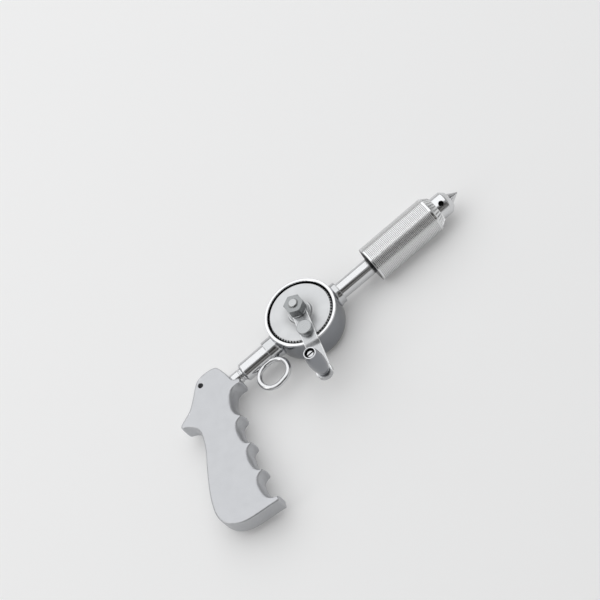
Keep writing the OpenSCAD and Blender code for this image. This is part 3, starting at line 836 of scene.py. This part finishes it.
def stadium(radius, wire, stretch):
    """A closed ring of round wire: two half turns and two straight sides."""
    bm = bmesh.new()
    start = Matrix.Translation((stretch / 2, -radius, 0))
    facing_x = start @ Matrix.Rotation(math.pi / 2, 4, "Y")
    bmesh.ops.create_circle(bm, segments=40, radius=wire, matrix=facing_x)
    first = bm.edges[:]
    loop = first
    for side in (1, -1):
        turned = bmesh.ops.spin(
            bm, geom=loop, cent=(side * stretch / 2, 0, 0), axis=(0, 0, 1), angle=math.pi, steps=48
        )
        loop = edges_of(turned["geom_last"])
        if side == 1:
            straight = bmesh.ops.extrude_edge_only(bm, edges=loop)["geom"]
            moved = verts_of(straight)
            bmesh.ops.translate(bm, vec=(-stretch, 0, 0), verts=moved)
            loop = [e for e in edges_of(straight) if all(v in moved for v in e.verts)]
    bmesh.ops.bridge_loops(bm, edges=loop + first)
    bmesh.ops.recalc_face_normals(bm, faces=bm.faces)
    return bm


ring = stadium(RING_R, RING_WIRE, RING_STRETCH)
ring_place = Matrix.Translation(RING_AT) @ Matrix.Rotation(RING_TURN, 4, "Z")
bmesh.ops.transform(ring, matrix=ring_place, verts=ring.verts)
dress("ring_wire", ring, barrel_steel, "frame", ["finger_ring"], "polished_steel")

braze = bmesh.new()
bmesh.ops.create_uvsphere(
    braze, u_segments=40, v_segments=24, radius=1,
    matrix=Matrix.Translation(BRAZE_AT) @ Matrix.Diagonal((*BRAZE_SIZE, 1)),
)
dress("ring_braze", braze, barrel_steel, "frame", [], "polished_steel")

# %% [markdown]
# ## The gear housing
# The cup is one turned section. The two bosses are turned as well, with a flare
# where they grow out of the wall, because a casting has a fillet there. They are
# joined to the cup, and then the seats of tube, barrel and axle are bored.

# %% Gear housing
CUP_FLOOR = 3.2
HUB_R = 6.5
HUB_TOP = 8.0
AXLE_FOOT_R = 3.0
BOSS_R = 7.8
FRONT_BOSS = 4
REAR_BOSS = 8
BOSS_ROOT = CUP_R - 1.7
cup = bar([
    (0, CUP_R, 7.5), (CUP_H, CUP_R, 0.7), (CUP_H, CUP_BORE_R, 0.7),
    (CUP_FLOOR, CUP_BORE_R, 5), (CUP_FLOOR, HUB_R, 0.5), (HUB_TOP, HUB_R, 0.3),
], steps=160, place=upright())


def boss(length, place):
    """A boss on the cup's wall: flared where it starts, its outer edge broken."""
    return bar([
        (BOSS_ROOT, BOSS_R + 0.7, 0), (CUP_R - 0.3, BOSS_R + 0.6, 0),
        (CUP_R + 1.1, BOSS_R, 0.9), (CUP_R + length, BOSS_R, 0.6),
    ], steps=120, place=place)


backwards = Matrix.Rotation(math.pi, 4, "Z") @ on_spindle()
bosses = [boss(FRONT_BOSS, on_spindle()), boss(REAR_BOSS, backwards)]
housing = combine(cup, bosses, "UNION")
housing = combine(housing, [
    rod(TUBE_R, CUP_R - 5, CUP_R + 15, on_spindle(), 96),
    rod(BARREL_R, BARREL_END - 14.4, BARREL_END, on_spindle(), 96),
    rod(AXLE_FOOT_R, CUP_FLOOR, HUB_TOP + 1, upright(), 48),
], "DIFFERENCE")
dress("cup", housing, cup_steel, "frame", ["gear_housing"], "chromed_cup", SHARPER)

# %% [markdown]
# ## The front tube
# A plain bright tube. Its front end shows inside the open back of the sleeve, so it
# is a real tube and not a bar.

# %% Front tube
TUBE_BORE_R = 4.2
TUBE_END = 75.4
dress("tube", lathe([
    (CUP_BORE_R, TUBE_BORE_R, 0), (CUP_BORE_R, TUBE_R, 0),
    (TUBE_END, TUBE_R, 0.3), (TUBE_END, TUBE_BORE_R, 0.2),
], place=on_spindle()), tube_steel, "frame", ["front_tube"], "polished_steel")

# %% [markdown]
# ## The axle
# The axle stands in the cup's floor, and its end comes out of the nut with a little
# of its thread in sight. A spin that rises a little with each step winds a ridge
# into a screw thread, as a bent wire is wound into a spring.

# %% Axle
THREAD_R = 3.4
THREAD_PITCH = 0.8
THREAD_STEPS = 48
SHOULDER_R = 5.0
SHOULDER_TOP = 18.0
AXLE_R = 3.6
AXLE_CORE_R = 3.0
AXLE_TOP = 37.6
WASHER_Z = 28.5


def thread(radius, pitch, start, turns):
    """The ridge of a screw thread round Z, closed at both ends."""
    bm = bmesh.new()
    root = radius - pitch * 0.55
    section = [(root, 0.0), (radius, 0.42), (radius, 0.52), (root, 0.94)]
    corners = [bm.verts.new((r, 0, start + pitch * rise)) for r, rise in section]
    face = bm.faces.new(corners)
    outline = face.edges[:]
    bmesh.ops.delete(bm, geom=[face], context="FACES_ONLY")
    steps = int(turns * THREAD_STEPS)
    bmesh.ops.spin(
        bm, geom=corners + outline, cent=(0, 0, 0), axis=(0, 0, 1),
        dvec=(0, 0, pitch / THREAD_STEPS), angle=2 * math.pi * steps / THREAD_STEPS, steps=steps,
    )
    bmesh.ops.holes_fill(bm, edges=[e for e in bm.edges if e.is_boundary])
    bmesh.ops.recalc_face_normals(bm, faces=bm.faces)
    return bm


axle = bar([
    (CUP_FLOOR, AXLE_FOOT_R, 0), (HUB_TOP, AXLE_FOOT_R, 0),
    (HUB_TOP, SHOULDER_R, 0.3), (SHOULDER_TOP, SHOULDER_R, 0.3), (SHOULDER_TOP, AXLE_R, 0),
    (WASHER_Z, AXLE_R, 0), (WASHER_Z, AXLE_CORE_R, 0), (AXLE_TOP - 0.4, AXLE_CORE_R, 0.1),
    (AXLE_TOP, AXLE_CORE_R - 0.35, 0.15),
], steps=72, place=upright())
axle = combine(axle, [thread(THREAD_R, THREAD_PITCH, WASHER_Z + 0.1, 9.6)], "UNION")
dress("axle_bolt", axle, hub_steel, "frame", ["axle"], "machined_steel")

# %% [markdown]
# ## The washer and the nut
# The washer is a turned ring. The nut is a hexagon met by a turned disc: where the
# disc's sloping edge cuts the six corners, it leaves the curved faces that every
# real nut has. Its bore is flared, as the thread's first turn is cut away.

# %% Washer and nut
WASHER_R = 6.5
NUT_Z = 29.5
NUT_H = 6.8
NUT_TOP = NUT_Z + NUT_H
NUT_FLAT = 6.0
NUT_CORNER = NUT_FLAT / math.cos(math.radians(30))
NUT_SLOPE = 0.75
NUT_DROP = NUT_SLOPE * 0.55
dress("washer", lathe([
    (WASHER_Z, THREAD_R, 0), (WASHER_Z, WASHER_R, 0.25),
    (NUT_Z, WASHER_R, 0.25), (NUT_Z, THREAD_R, 0),
], place=upright()), hub_steel, "frame", ["axle_washer"], "machined_steel")

hexagon = bmesh.new()
bmesh.ops.create_cone(
    hexagon, cap_ends=True, segments=6, radius1=NUT_CORNER, radius2=NUT_CORNER, depth=NUT_H,
    matrix=Matrix.Translation((0, 0, NUT_Z + NUT_H / 2)),
)
round_edges(hexagon, 2, 0.25)
disc = bar([
    (NUT_Z, NUT_CORNER - NUT_SLOPE, 0.1), (NUT_Z + NUT_DROP, NUT_CORNER, 0),
    (NUT_TOP - NUT_DROP, NUT_CORNER, 0), (NUT_TOP, NUT_CORNER - NUT_SLOPE, 0.1),
], steps=120, place=upright())
nut = combine(hexagon, [disc], "INTERSECT")
nut_bore = rod(THREAD_R - 0.1, NUT_Z - 1, NUT_TOP + 0.4, upright(), 72, flare=0.55)
nut = combine(nut, [nut_bore], "DIFFERENCE")
dress("nut", nut, nut_steel, "frame", ["axle_nut"], "machined_steel", SHARPEST)

# %% [markdown]
# ## The crank arm
# The arm is a flat bar with a step pressed in it just past the rim, so that the
# knob's end sits lower. A bevelled box is cut across in many places where it bends,
# and each cut is lowered by a smooth curve. The eye and the knob's boss are joined
# to it, and then the eye is bored for its bush and the boss for the knob's screw.

# %% Crank arm
ARM_Z = 25.4
ARM_T = 2.8
ARM_TOP = ARM_Z + ARM_T
ARM_DROP = 2.4
BEND_START = 25.6
BEND_END = 31.2
BEND_CUTS = 18
EYE_R = 7.0
EYE_BORE_R = 4.65
KNOB_BOSS_R = 5.5
KNOB_BOSS_TOP = ARM_TOP - ARM_DROP + 0.4
KNOB_BOSS_FOOT = KNOB_BOSS_TOP - 3.6
SCREW_END_R = 1.5
arm_turn = Matrix.Rotation(CRANK_TURN, 4, "Z")


def stepped_bar():
    """The bar along X, its long edges rounded, with its step pressed in."""
    bm = box((CRANK_R, ARM_W, ARM_T), (CRANK_R / 2, 0, ARM_Z + ARM_T / 2))
    round_edges(bm, 0, 0.45)
    for i in range(BEND_CUTS + 1):
        x = BEND_START + (BEND_END - BEND_START) * i / BEND_CUTS
        everything = bm.verts[:] + bm.edges[:] + bm.faces[:]
        bmesh.ops.bisect_plane(bm, geom=everything, plane_co=(x, 0, 0), plane_no=(1, 0, 0))
    for v in bm.verts:
        t = min(max((v.co.x - BEND_START) / (BEND_END - BEND_START), 0), 1)
        v.co.z -= ARM_DROP * t * t * (3 - 2 * t)
    return bm


eye = bar([(ARM_Z, EYE_R, 0.45), (ARM_TOP, EYE_R, 0.45)], place=upright())
knob_boss = bar([
    (KNOB_BOSS_FOOT, KNOB_BOSS_R, 0.5), (KNOB_BOSS_TOP, KNOB_BOSS_R, 0.5),
], place=upright(CRANK_R))
arm = combine(stepped_bar(), [eye, knob_boss], "UNION")
arm = combine(arm, [
    rod(EYE_BORE_R, ARM_Z - 1, ARM_TOP + 1, upright(), 72),
    rod(SCREW_END_R, KNOB_BOSS_TOP - 5, KNOB_BOSS_TOP + 1, upright(CRANK_R), 48),
], "DIFFERENCE")
bmesh.ops.transform(arm, matrix=arm_turn, verts=arm.verts)
dress("arm", arm, arm_steel, "crank", ["crank_arm"], "polished_steel", SHARPER)

# %% [markdown]
# ## The drive stud
# The stud ties the arm to the wheel, with a spacer between the two and a plain
# round head on top. It is one turned piece, so the lathe makes it in one go.

# %% Stud
STUD_R = 2.5
STUD_FOOT = 21.8
SPACER_R = 3.6
STUD_HEAD_R = 5.2
STUD_TOP = 32.5
dress("stud", bar([
    (STUD_FOOT, STUD_R, 0), (WHEEL_TOP, STUD_R, 0), (WHEEL_TOP, SPACER_R, 0),
    (ARM_Z, SPACER_R, 0), (ARM_Z, STUD_R, 0), (ARM_TOP, STUD_R, 0),
    (ARM_TOP, STUD_HEAD_R, 0.3), (STUD_TOP, STUD_HEAD_R, 0.55),
], place=arm_turn @ upright(STUD_R_AT)), stud_steel, "crank", ["drive_stud"], "machined_steel")

# %% [markdown]
# ## The knob's screw
# The knob turns on a shoulder screw whose head is sunk in its top. The screw is
# turned, and its slot is cut with a small box that lies along the spindle, as in
# the photograph.

# %% Screw
SCREW_R = 1.9
HEAD_R = 2.3
HEAD_Z = HEAD_TOP - 1.6
SLOT_W = 0.95
SLOT_DEPTH = 0.8
screw = bar([
    (KNOB_BOSS_FOOT, SCREW_END_R, 0.2), (KNOB_BOSS_TOP, SCREW_END_R, 0),
    (KNOB_BOSS_TOP, SCREW_R, 0), (HEAD_Z, SCREW_R, 0), (HEAD_Z, HEAD_R, 0),
    (HEAD_TOP, HEAD_R, 0.35),
], steps=72, place=upright(*KNOB_AT))
slot_centre = (0, 0, HEAD_TOP + 1 - SLOT_DEPTH)
slot_cutter = box((8, SLOT_W, 2), slot_centre, Matrix.Translation(KNOB_AT))
screw = combine(screw, [slot_cutter], "DIFFERENCE")
dress("screw", screw, screw_steel, "crank", ["knob_screw"], "machined_steel")

# %% [markdown]
# ## The knob
# The knob's side is one long arc, widest near the middle. Its top is bored out for
# the screw's head, which leaves a thin bright lip. The arc is found from the height
# of its widest part and from how much thinner the knob is at its foot.

# %% Knob piece
KNOB_R = 5.45
KNOB_BASE_R = 3.8
KNOB_BORE_R = 2.0
KNOB_BELLY = 0.52 * KNOB_H
KNOB_SAG = KNOB_R - KNOB_BASE_R
KNOB_ARC = (KNOB_BELLY ** 2 + KNOB_SAG ** 2) / (2 * KNOB_SAG)
KNOB_STEPS = 28
RECESS_FLOOR = KNOB_H - 3.2


def knob_radius(height):
    return KNOB_R - KNOB_ARC + math.sqrt(KNOB_ARC ** 2 - (height - KNOB_BELLY) ** 2)


heights = [KNOB_H * i / KNOB_STEPS for i in range(1, KNOB_STEPS)]
knob_foot = [(0, KNOB_BORE_R, 0.1), (0, KNOB_BASE_R, 0.4)]
knob_side = [(h, knob_radius(h), 0) for h in heights]
knob_lip = [
    (KNOB_H, knob_radius(KNOB_H), 0.3), (KNOB_H, RECESS_R, 0.15),
    (RECESS_FLOOR, RECESS_R, 0), (RECESS_FLOOR, KNOB_BORE_R, 0),
]
knob = lathe(knob_foot + knob_side + knob_lip, 112, upright(KNOB_AT.x, KNOB_AT.y, KNOB_Z))
dress("knob_barrel", knob, knob_steel, "knob", ["crank_knob"], "polished_knob")

# %% [markdown]
# ## The ribbed sleeve
# The ribs are in the turned section itself: 46 shallow grooves between narrow
# flats. A bump would look the same from afar, but the outline of the sleeve would
# stay smooth, and close by it is the outline that tells.

# %% Sleeve piece
RIBS = 46
RIB_DEPTH = 0.28
RIB_GROOVE = 0.275
RIB_MARGIN = 1.2
SLEEVE_START = 55.8
SLEEVE_BORE = 11.0
COLLAR_BORE = NOSE_R + 0.05
COLLAR_START = 105.9
rib_pitch = (BEVEL_START - SLEEVE_START - 2 * RIB_MARGIN) / RIBS
ribs = []
for i in range(RIBS):
    x = SLEEVE_START + RIB_MARGIN + (i + 0.5) * rib_pitch
    half = RIB_GROOVE * rib_pitch
    ribs += [(x - half, SLEEVE_R, 0.09), (x, SLEEVE_R - RIB_DEPTH, 0), (x + half, SLEEVE_R, 0.09)]
sleeve_back = [(SLEEVE_START, SLEEVE_BORE, 0.2), (SLEEVE_START, SLEEVE_R, 0.45)]
sleeve_front = [
    (BEVEL_START, SLEEVE_R, 0), (BEVEL_START, COLLAR_BORE, 0),
    (COLLAR_START, COLLAR_BORE, 0), (COLLAR_START, SLEEVE_BORE, 0),
]
sleeve = lathe(sleeve_back + ribs + sleeve_front, 128, on_spindle())
dress("sleeve", sleeve, sleeve_steel, "sleeve", ["chuck_sleeve"], "ribbed_steel", SHARPEST)

# %% [markdown]
# ## The teeth for the chuck key
# The bevel in front of the sleeve has 32 teeth that a key's pinion climbs round. A
# turned ring is cut by 32 wedges. One wedge is pushed out of a single face, laid
# along the slope, and copied by a spin that duplicates instead of joining.

# %% Key teeth
KEY_TEETH = 32
SLEEVE_END = 111.6
BEVEL_END_R = 9.8
WEDGE_START = 0.7
WEDGE_LENGTH = 8
WEDGE_TOP = 0.95
WEDGE_POINT = 0.1
bevel_slope = math.atan2(SLEEVE_R - BEVEL_END_R, SLEEVE_END - BEVEL_START)
bevel_ring = lathe([
    (BEVEL_START, COLLAR_BORE, 0), (BEVEL_START, SLEEVE_R, 0.12), (SLEEVE_END, BEVEL_END_R, 0.25),
    (SLEEVE_END, COLLAR_BORE, 0.1),
], steps=192, place=on_spindle())
wedges = bmesh.new()
wedge_end = [(-WEDGE_POINT, -1), (WEDGE_POINT, -1), (WEDGE_TOP, 1), (-WEDGE_TOP, 1)]
wedge = wedges.faces.new([wedges.verts.new((WEDGE_START, y, z)) for y, z in wedge_end])
pushed = bmesh.ops.extrude_face_region(wedges, geom=[wedge])["geom"]
bmesh.ops.translate(wedges, vec=(WEDGE_LENGTH, 0, 0), verts=verts_of(pushed))
bmesh.ops.recalc_face_normals(wedges, faces=wedges.faces)
on_slope = Matrix.Translation((BEVEL_START, 0, SLEEVE_R)) @ Matrix.Rotation(bevel_slope, 4, "Y")
bmesh.ops.transform(wedges, verts=wedges.verts, matrix=on_slope)
bmesh.ops.spin(
    wedges, geom=wedges.verts[:] + wedges.edges[:] + wedges.faces[:], cent=(0, 0, 0),
    axis=(1, 0, 0), angle=2 * math.pi * (KEY_TEETH - 1) / KEY_TEETH, steps=KEY_TEETH - 1,
    use_duplicate=True,
)
bmesh.ops.translate(wedges, vec=(0, 0, AXIS_Z), verts=wedges.verts)
bevel_ring = combine(bevel_ring, [wedges], "DIFFERENCE")
dress("key_bevel", bevel_ring, sleeve_steel, "sleeve", [], "ribbed_steel", SHARPEST)

# %% [markdown]
# ## The chuck's nose
# The nose is turned, then drilled: a bore down the middle for the drill's shank,
# three slanted bores for the jaws and three pilot holes for the chuck key, each
# with its edge broken. The jaws' bores run out through the nose's slope, and the
# boolean finds those long curved edges by itself.

# %% Chuck nose
CHUCK_START = 78.0
CHUCK_BACK_R = 6.5
BODY_START = 86.0
BODY_END = 100.8
BODY_R = SLEEVE_BORE - 0.05
WAIST_R = 7.4
NOSE_START = 105.7
NOSE_END = 122.8
NOSE_END_R = 5.4
SPINDLE_SEAT_R = 3.0
SPINDLE_SEAT_END = 91.0
SHANK_R = 2.1
SHANK_START = 92.0
JAW_BORE_R = 2.25
JAW_BORE_LENGTH = 42.5
JAW_SLANT = math.atan(5.12 / 29)
JAW_OFFSET = 1.3
PILOT_AT = 115.6
PILOT_R = 1.85
PILOT_DEPTH = 3.4
nose = bar([
    (CHUCK_START, CHUCK_BACK_R, 0.3), (BODY_START, CHUCK_BACK_R, 0),
    (BODY_START, BODY_R, 0.3), (BODY_END, BODY_R, 0.3), (BODY_END, WAIST_R, 0),
    (NOSE_START, WAIST_R, 0), (NOSE_START, NOSE_R, 0.2), (NOSE_EDGE, NOSE_R, 0.8),
    (NOSE_END, NOSE_END_R, 0.5),
], steps=128, place=on_spindle())
drills = [
    rod(SPINDLE_SEAT_R, CHUCK_START - 1, SPINDLE_SEAT_END, on_spindle(), 48),
    rod(SHANK_R, SHANK_START, NOSE_END + 1.2, on_spindle(), 48),
]
for i in range(3):
    jaw_turn = on_spindle(KEY_TURN + THIRD / 2 + THIRD * i)
    jaw_start = Matrix.Translation((JAW_TIP, 0, JAW_OFFSET))
    jaw_line = jaw_turn @ jaw_start @ Matrix.Rotation(JAW_SLANT, 4, "Y")
    drills.append(rod(JAW_BORE_R, -JAW_BORE_LENGTH, 2, jaw_line, 48))
    pilot_line = on_spindle(KEY_TURN + THIRD * i) @ Matrix.Translation((PILOT_AT, 0, 0)) @ ALONG_Z
    drills.append(rod(PILOT_R, NOSE_R - PILOT_DEPTH, NOSE_R + 0.3, pilot_line, 48, flare=0.4))
nose = combine(nose, drills, "DIFFERENCE")
dress("chuck_nose", nose, nose_steel, "spindle", ["chuck_body"], "machined_steel", SHARPER)

# %% [markdown]
# ## The jaws
# The jaws come from their solids. The edges where two of them meet are broken, and
# that makes the dark line which runs down to the point. A square bar, laid corner
# down along the cone, cuts the broken edges of both jaws at once.

# %% Jaws
JAW_CONE = math.radians(30)
SLIT = 0.55
SLIT_LENGTH = 9
SLIT_MIDDLE = -5.7


def slit_bars():
    corner_down = Matrix.Rotation(math.radians(45), 4, "X")
    along_cone = Matrix.Translation((JAW_TIP, 0, 0)) @ Matrix.Rotation(JAW_CONE, 4, "Y")
    along_cone = along_cone @ Matrix.Translation((SLIT_MIDDLE, 0, 0)) @ corner_down
    turns = [on_spindle(KEY_TURN + THIRD * i) for i in range(3)]
    return [box((SLIT_LENGTH, SLIT, SLIT), (0, 0, 0), turn @ along_cone) for turn in turns]


for i in (1, 2, 3):
    jaw = combine(solid_copy(f"jaw_{i}"), slit_bars(), "DIFFERENCE")
    dress(f"jaw_point_{i}", jaw, jaw_steel, f"jaw_{i}", [f"jaw_{i}"], "jaw_steel")

# %% [markdown]
# ## The solids that stay
# The wheel, the gears and the bearings are right as they are: their edges are cut,
# not cast. They only need their finish.

# %% Finishes for the solids
FINISHES = {
    wheel_satin: ["gear_wheel"],
    bronze: ["wheel_bush", "front_bush", "rear_bush", "thrust_washer", "pinion_washer"],
    hidden_steel: ["spindle", "pinion_pin"],
    tooth_steel: ["pinion", "chuck_nut"],
}
for finish, nodes in FINISHES.items():
    for node in nodes:
        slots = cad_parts[node].data.materials
        slots.clear()
        slots.append(finish.material)
    print(finish.material.name, "is on", ", ".join(nodes))

# %% [markdown]
# ## The floor
# Polished metal shows its surroundings, so the studio matters as much as the finish.
# The floor is white and keeps a soft shadow. It glows a little where the camera or a
# reflection sees it, and more far away, which hides where it ends.

# %% Floor
HORIZON = (0.82, 0.82, 0.815)
FLOOR_HALF = 6.0
FLOOR_BELOW = 0.0002
floor_finish = Finish("floor_white", (0.9, 0.9, 0.9), 0.9, metallic=0.0)
floor_finish.set("Specular IOR Level", 0.0)
ray = floor_finish.node("ShaderNodeLightPath").socket.node
seen = Signal(floor_finish, ray.outputs["Is Camera Ray"])
for other in ("Is Glossy Ray", "Is Transmission Ray"):
    seen = seen.maths("MAXIMUM", seen, Signal(floor_finish, ray.outputs[other]))
floor_away = round_upright(floor_finish)[0]
floor_glow = 0.15 + floor_away.step(350, 2400) * 0.6
glow = floor_finish.node("ShaderNodeEmission", sockets={"Color": HORIZON, "Strength": 1.0})
lit = Signal(floor_finish, floor_finish.shader.outputs[0])
surface = floor_finish.node("ShaderNodeMixShader", sockets={0: seen * floor_glow, 1: lit, 2: glow})
floor_finish.feed(floor_finish.tree.nodes["Material Output"].inputs["Surface"], surface)

floor_bm = bmesh.new()
bmesh.ops.create_grid(
    floor_bm, x_segments=1, y_segments=1, size=FLOOR_HALF,
    matrix=Matrix.Translation((0, 0, -FLOOR_BELOW)),
)
floor = linked(floor_bm, "floor")
floor.data.materials.append(floor_finish.material)
print("the floor is", 2 * FLOOR_HALF, "m wide")

# %% [markdown]
# ## The lamps
# A broad panel hangs over the far side and overhead, where the photograph has its
# light. Its radiance is 1, so the steel shows about the colour that it was given.
# A small dim panel stands on the camera's side, and a narrow one at the grip's end
# puts a line of light on everything that faces it.


# %% Lamps
def panel(name, place, size, radiance, color):
    """A soft panel that faces the drill, as bright as its radiance says."""
    light = bpy.data.lights.new(name, "AREA")
    light.shape = "RECTANGLE"
    light.size, light.size_y = size
    light.energy = math.pi * size[0] * size[1] * radiance
    light.color = color
    lamp = bpy.data.objects.new(name, light)
    lamp.location = place
    lamp.rotation_euler = (-Vector(place)).to_track_quat("-Z", "Y").to_euler()
    scene.collection.objects.link(lamp)
    print(name, "gives", round(light.energy, 2), "W")


panel("far_box", (0.0, 0.68, 1.52), (3.0, 3.0), 1.0, (0.985, 0.992, 1.0))
panel("near_box", (-0.3, -1.25, 0.8), (2.0, 0.4), 0.2, (1.0, 0.985, 0.96))
panel("side_box", (-1.3, 0.0, 0.9), (0.5, 1.0), 1.4, (1.0, 0.99, 0.975))

# %% [markdown]
# ## The room around
# The room is pale at the horizon and grey above. Its near side is nearly black,
# behind the camera: that is what splits every round bar into a bright half and a
# dark band. The darkness depends on direction alone, so it stays put in every view.

# %% Room
ROOM_GREY = (0.42, 0.42, 0.42)
ROOM_DARK = (0.06, 0.058, 0.055)
world = bpy.data.worlds.new("studio")
world.use_nodes = True
sky = Nodes(world.node_tree)
sky_x, sky_y, sky_z = sky.split(sky.node("ShaderNodeTexCoord", output="Generated"))
near_side = (sky_y + abs(sky_x) * 0.8).step(-0.15, -0.55)
sky_top = sky.mix(near_side, ROOM_GREY, ROOM_DARK)
sky_color = sky.mix(sky_z.step(0.08, 0.28), HORIZON, sky_top)
sky.feed(world.node_tree.nodes["Background"].inputs["Color"], sky_color)
scene.world = world
print("the room is named", world.name)

# %% [markdown]
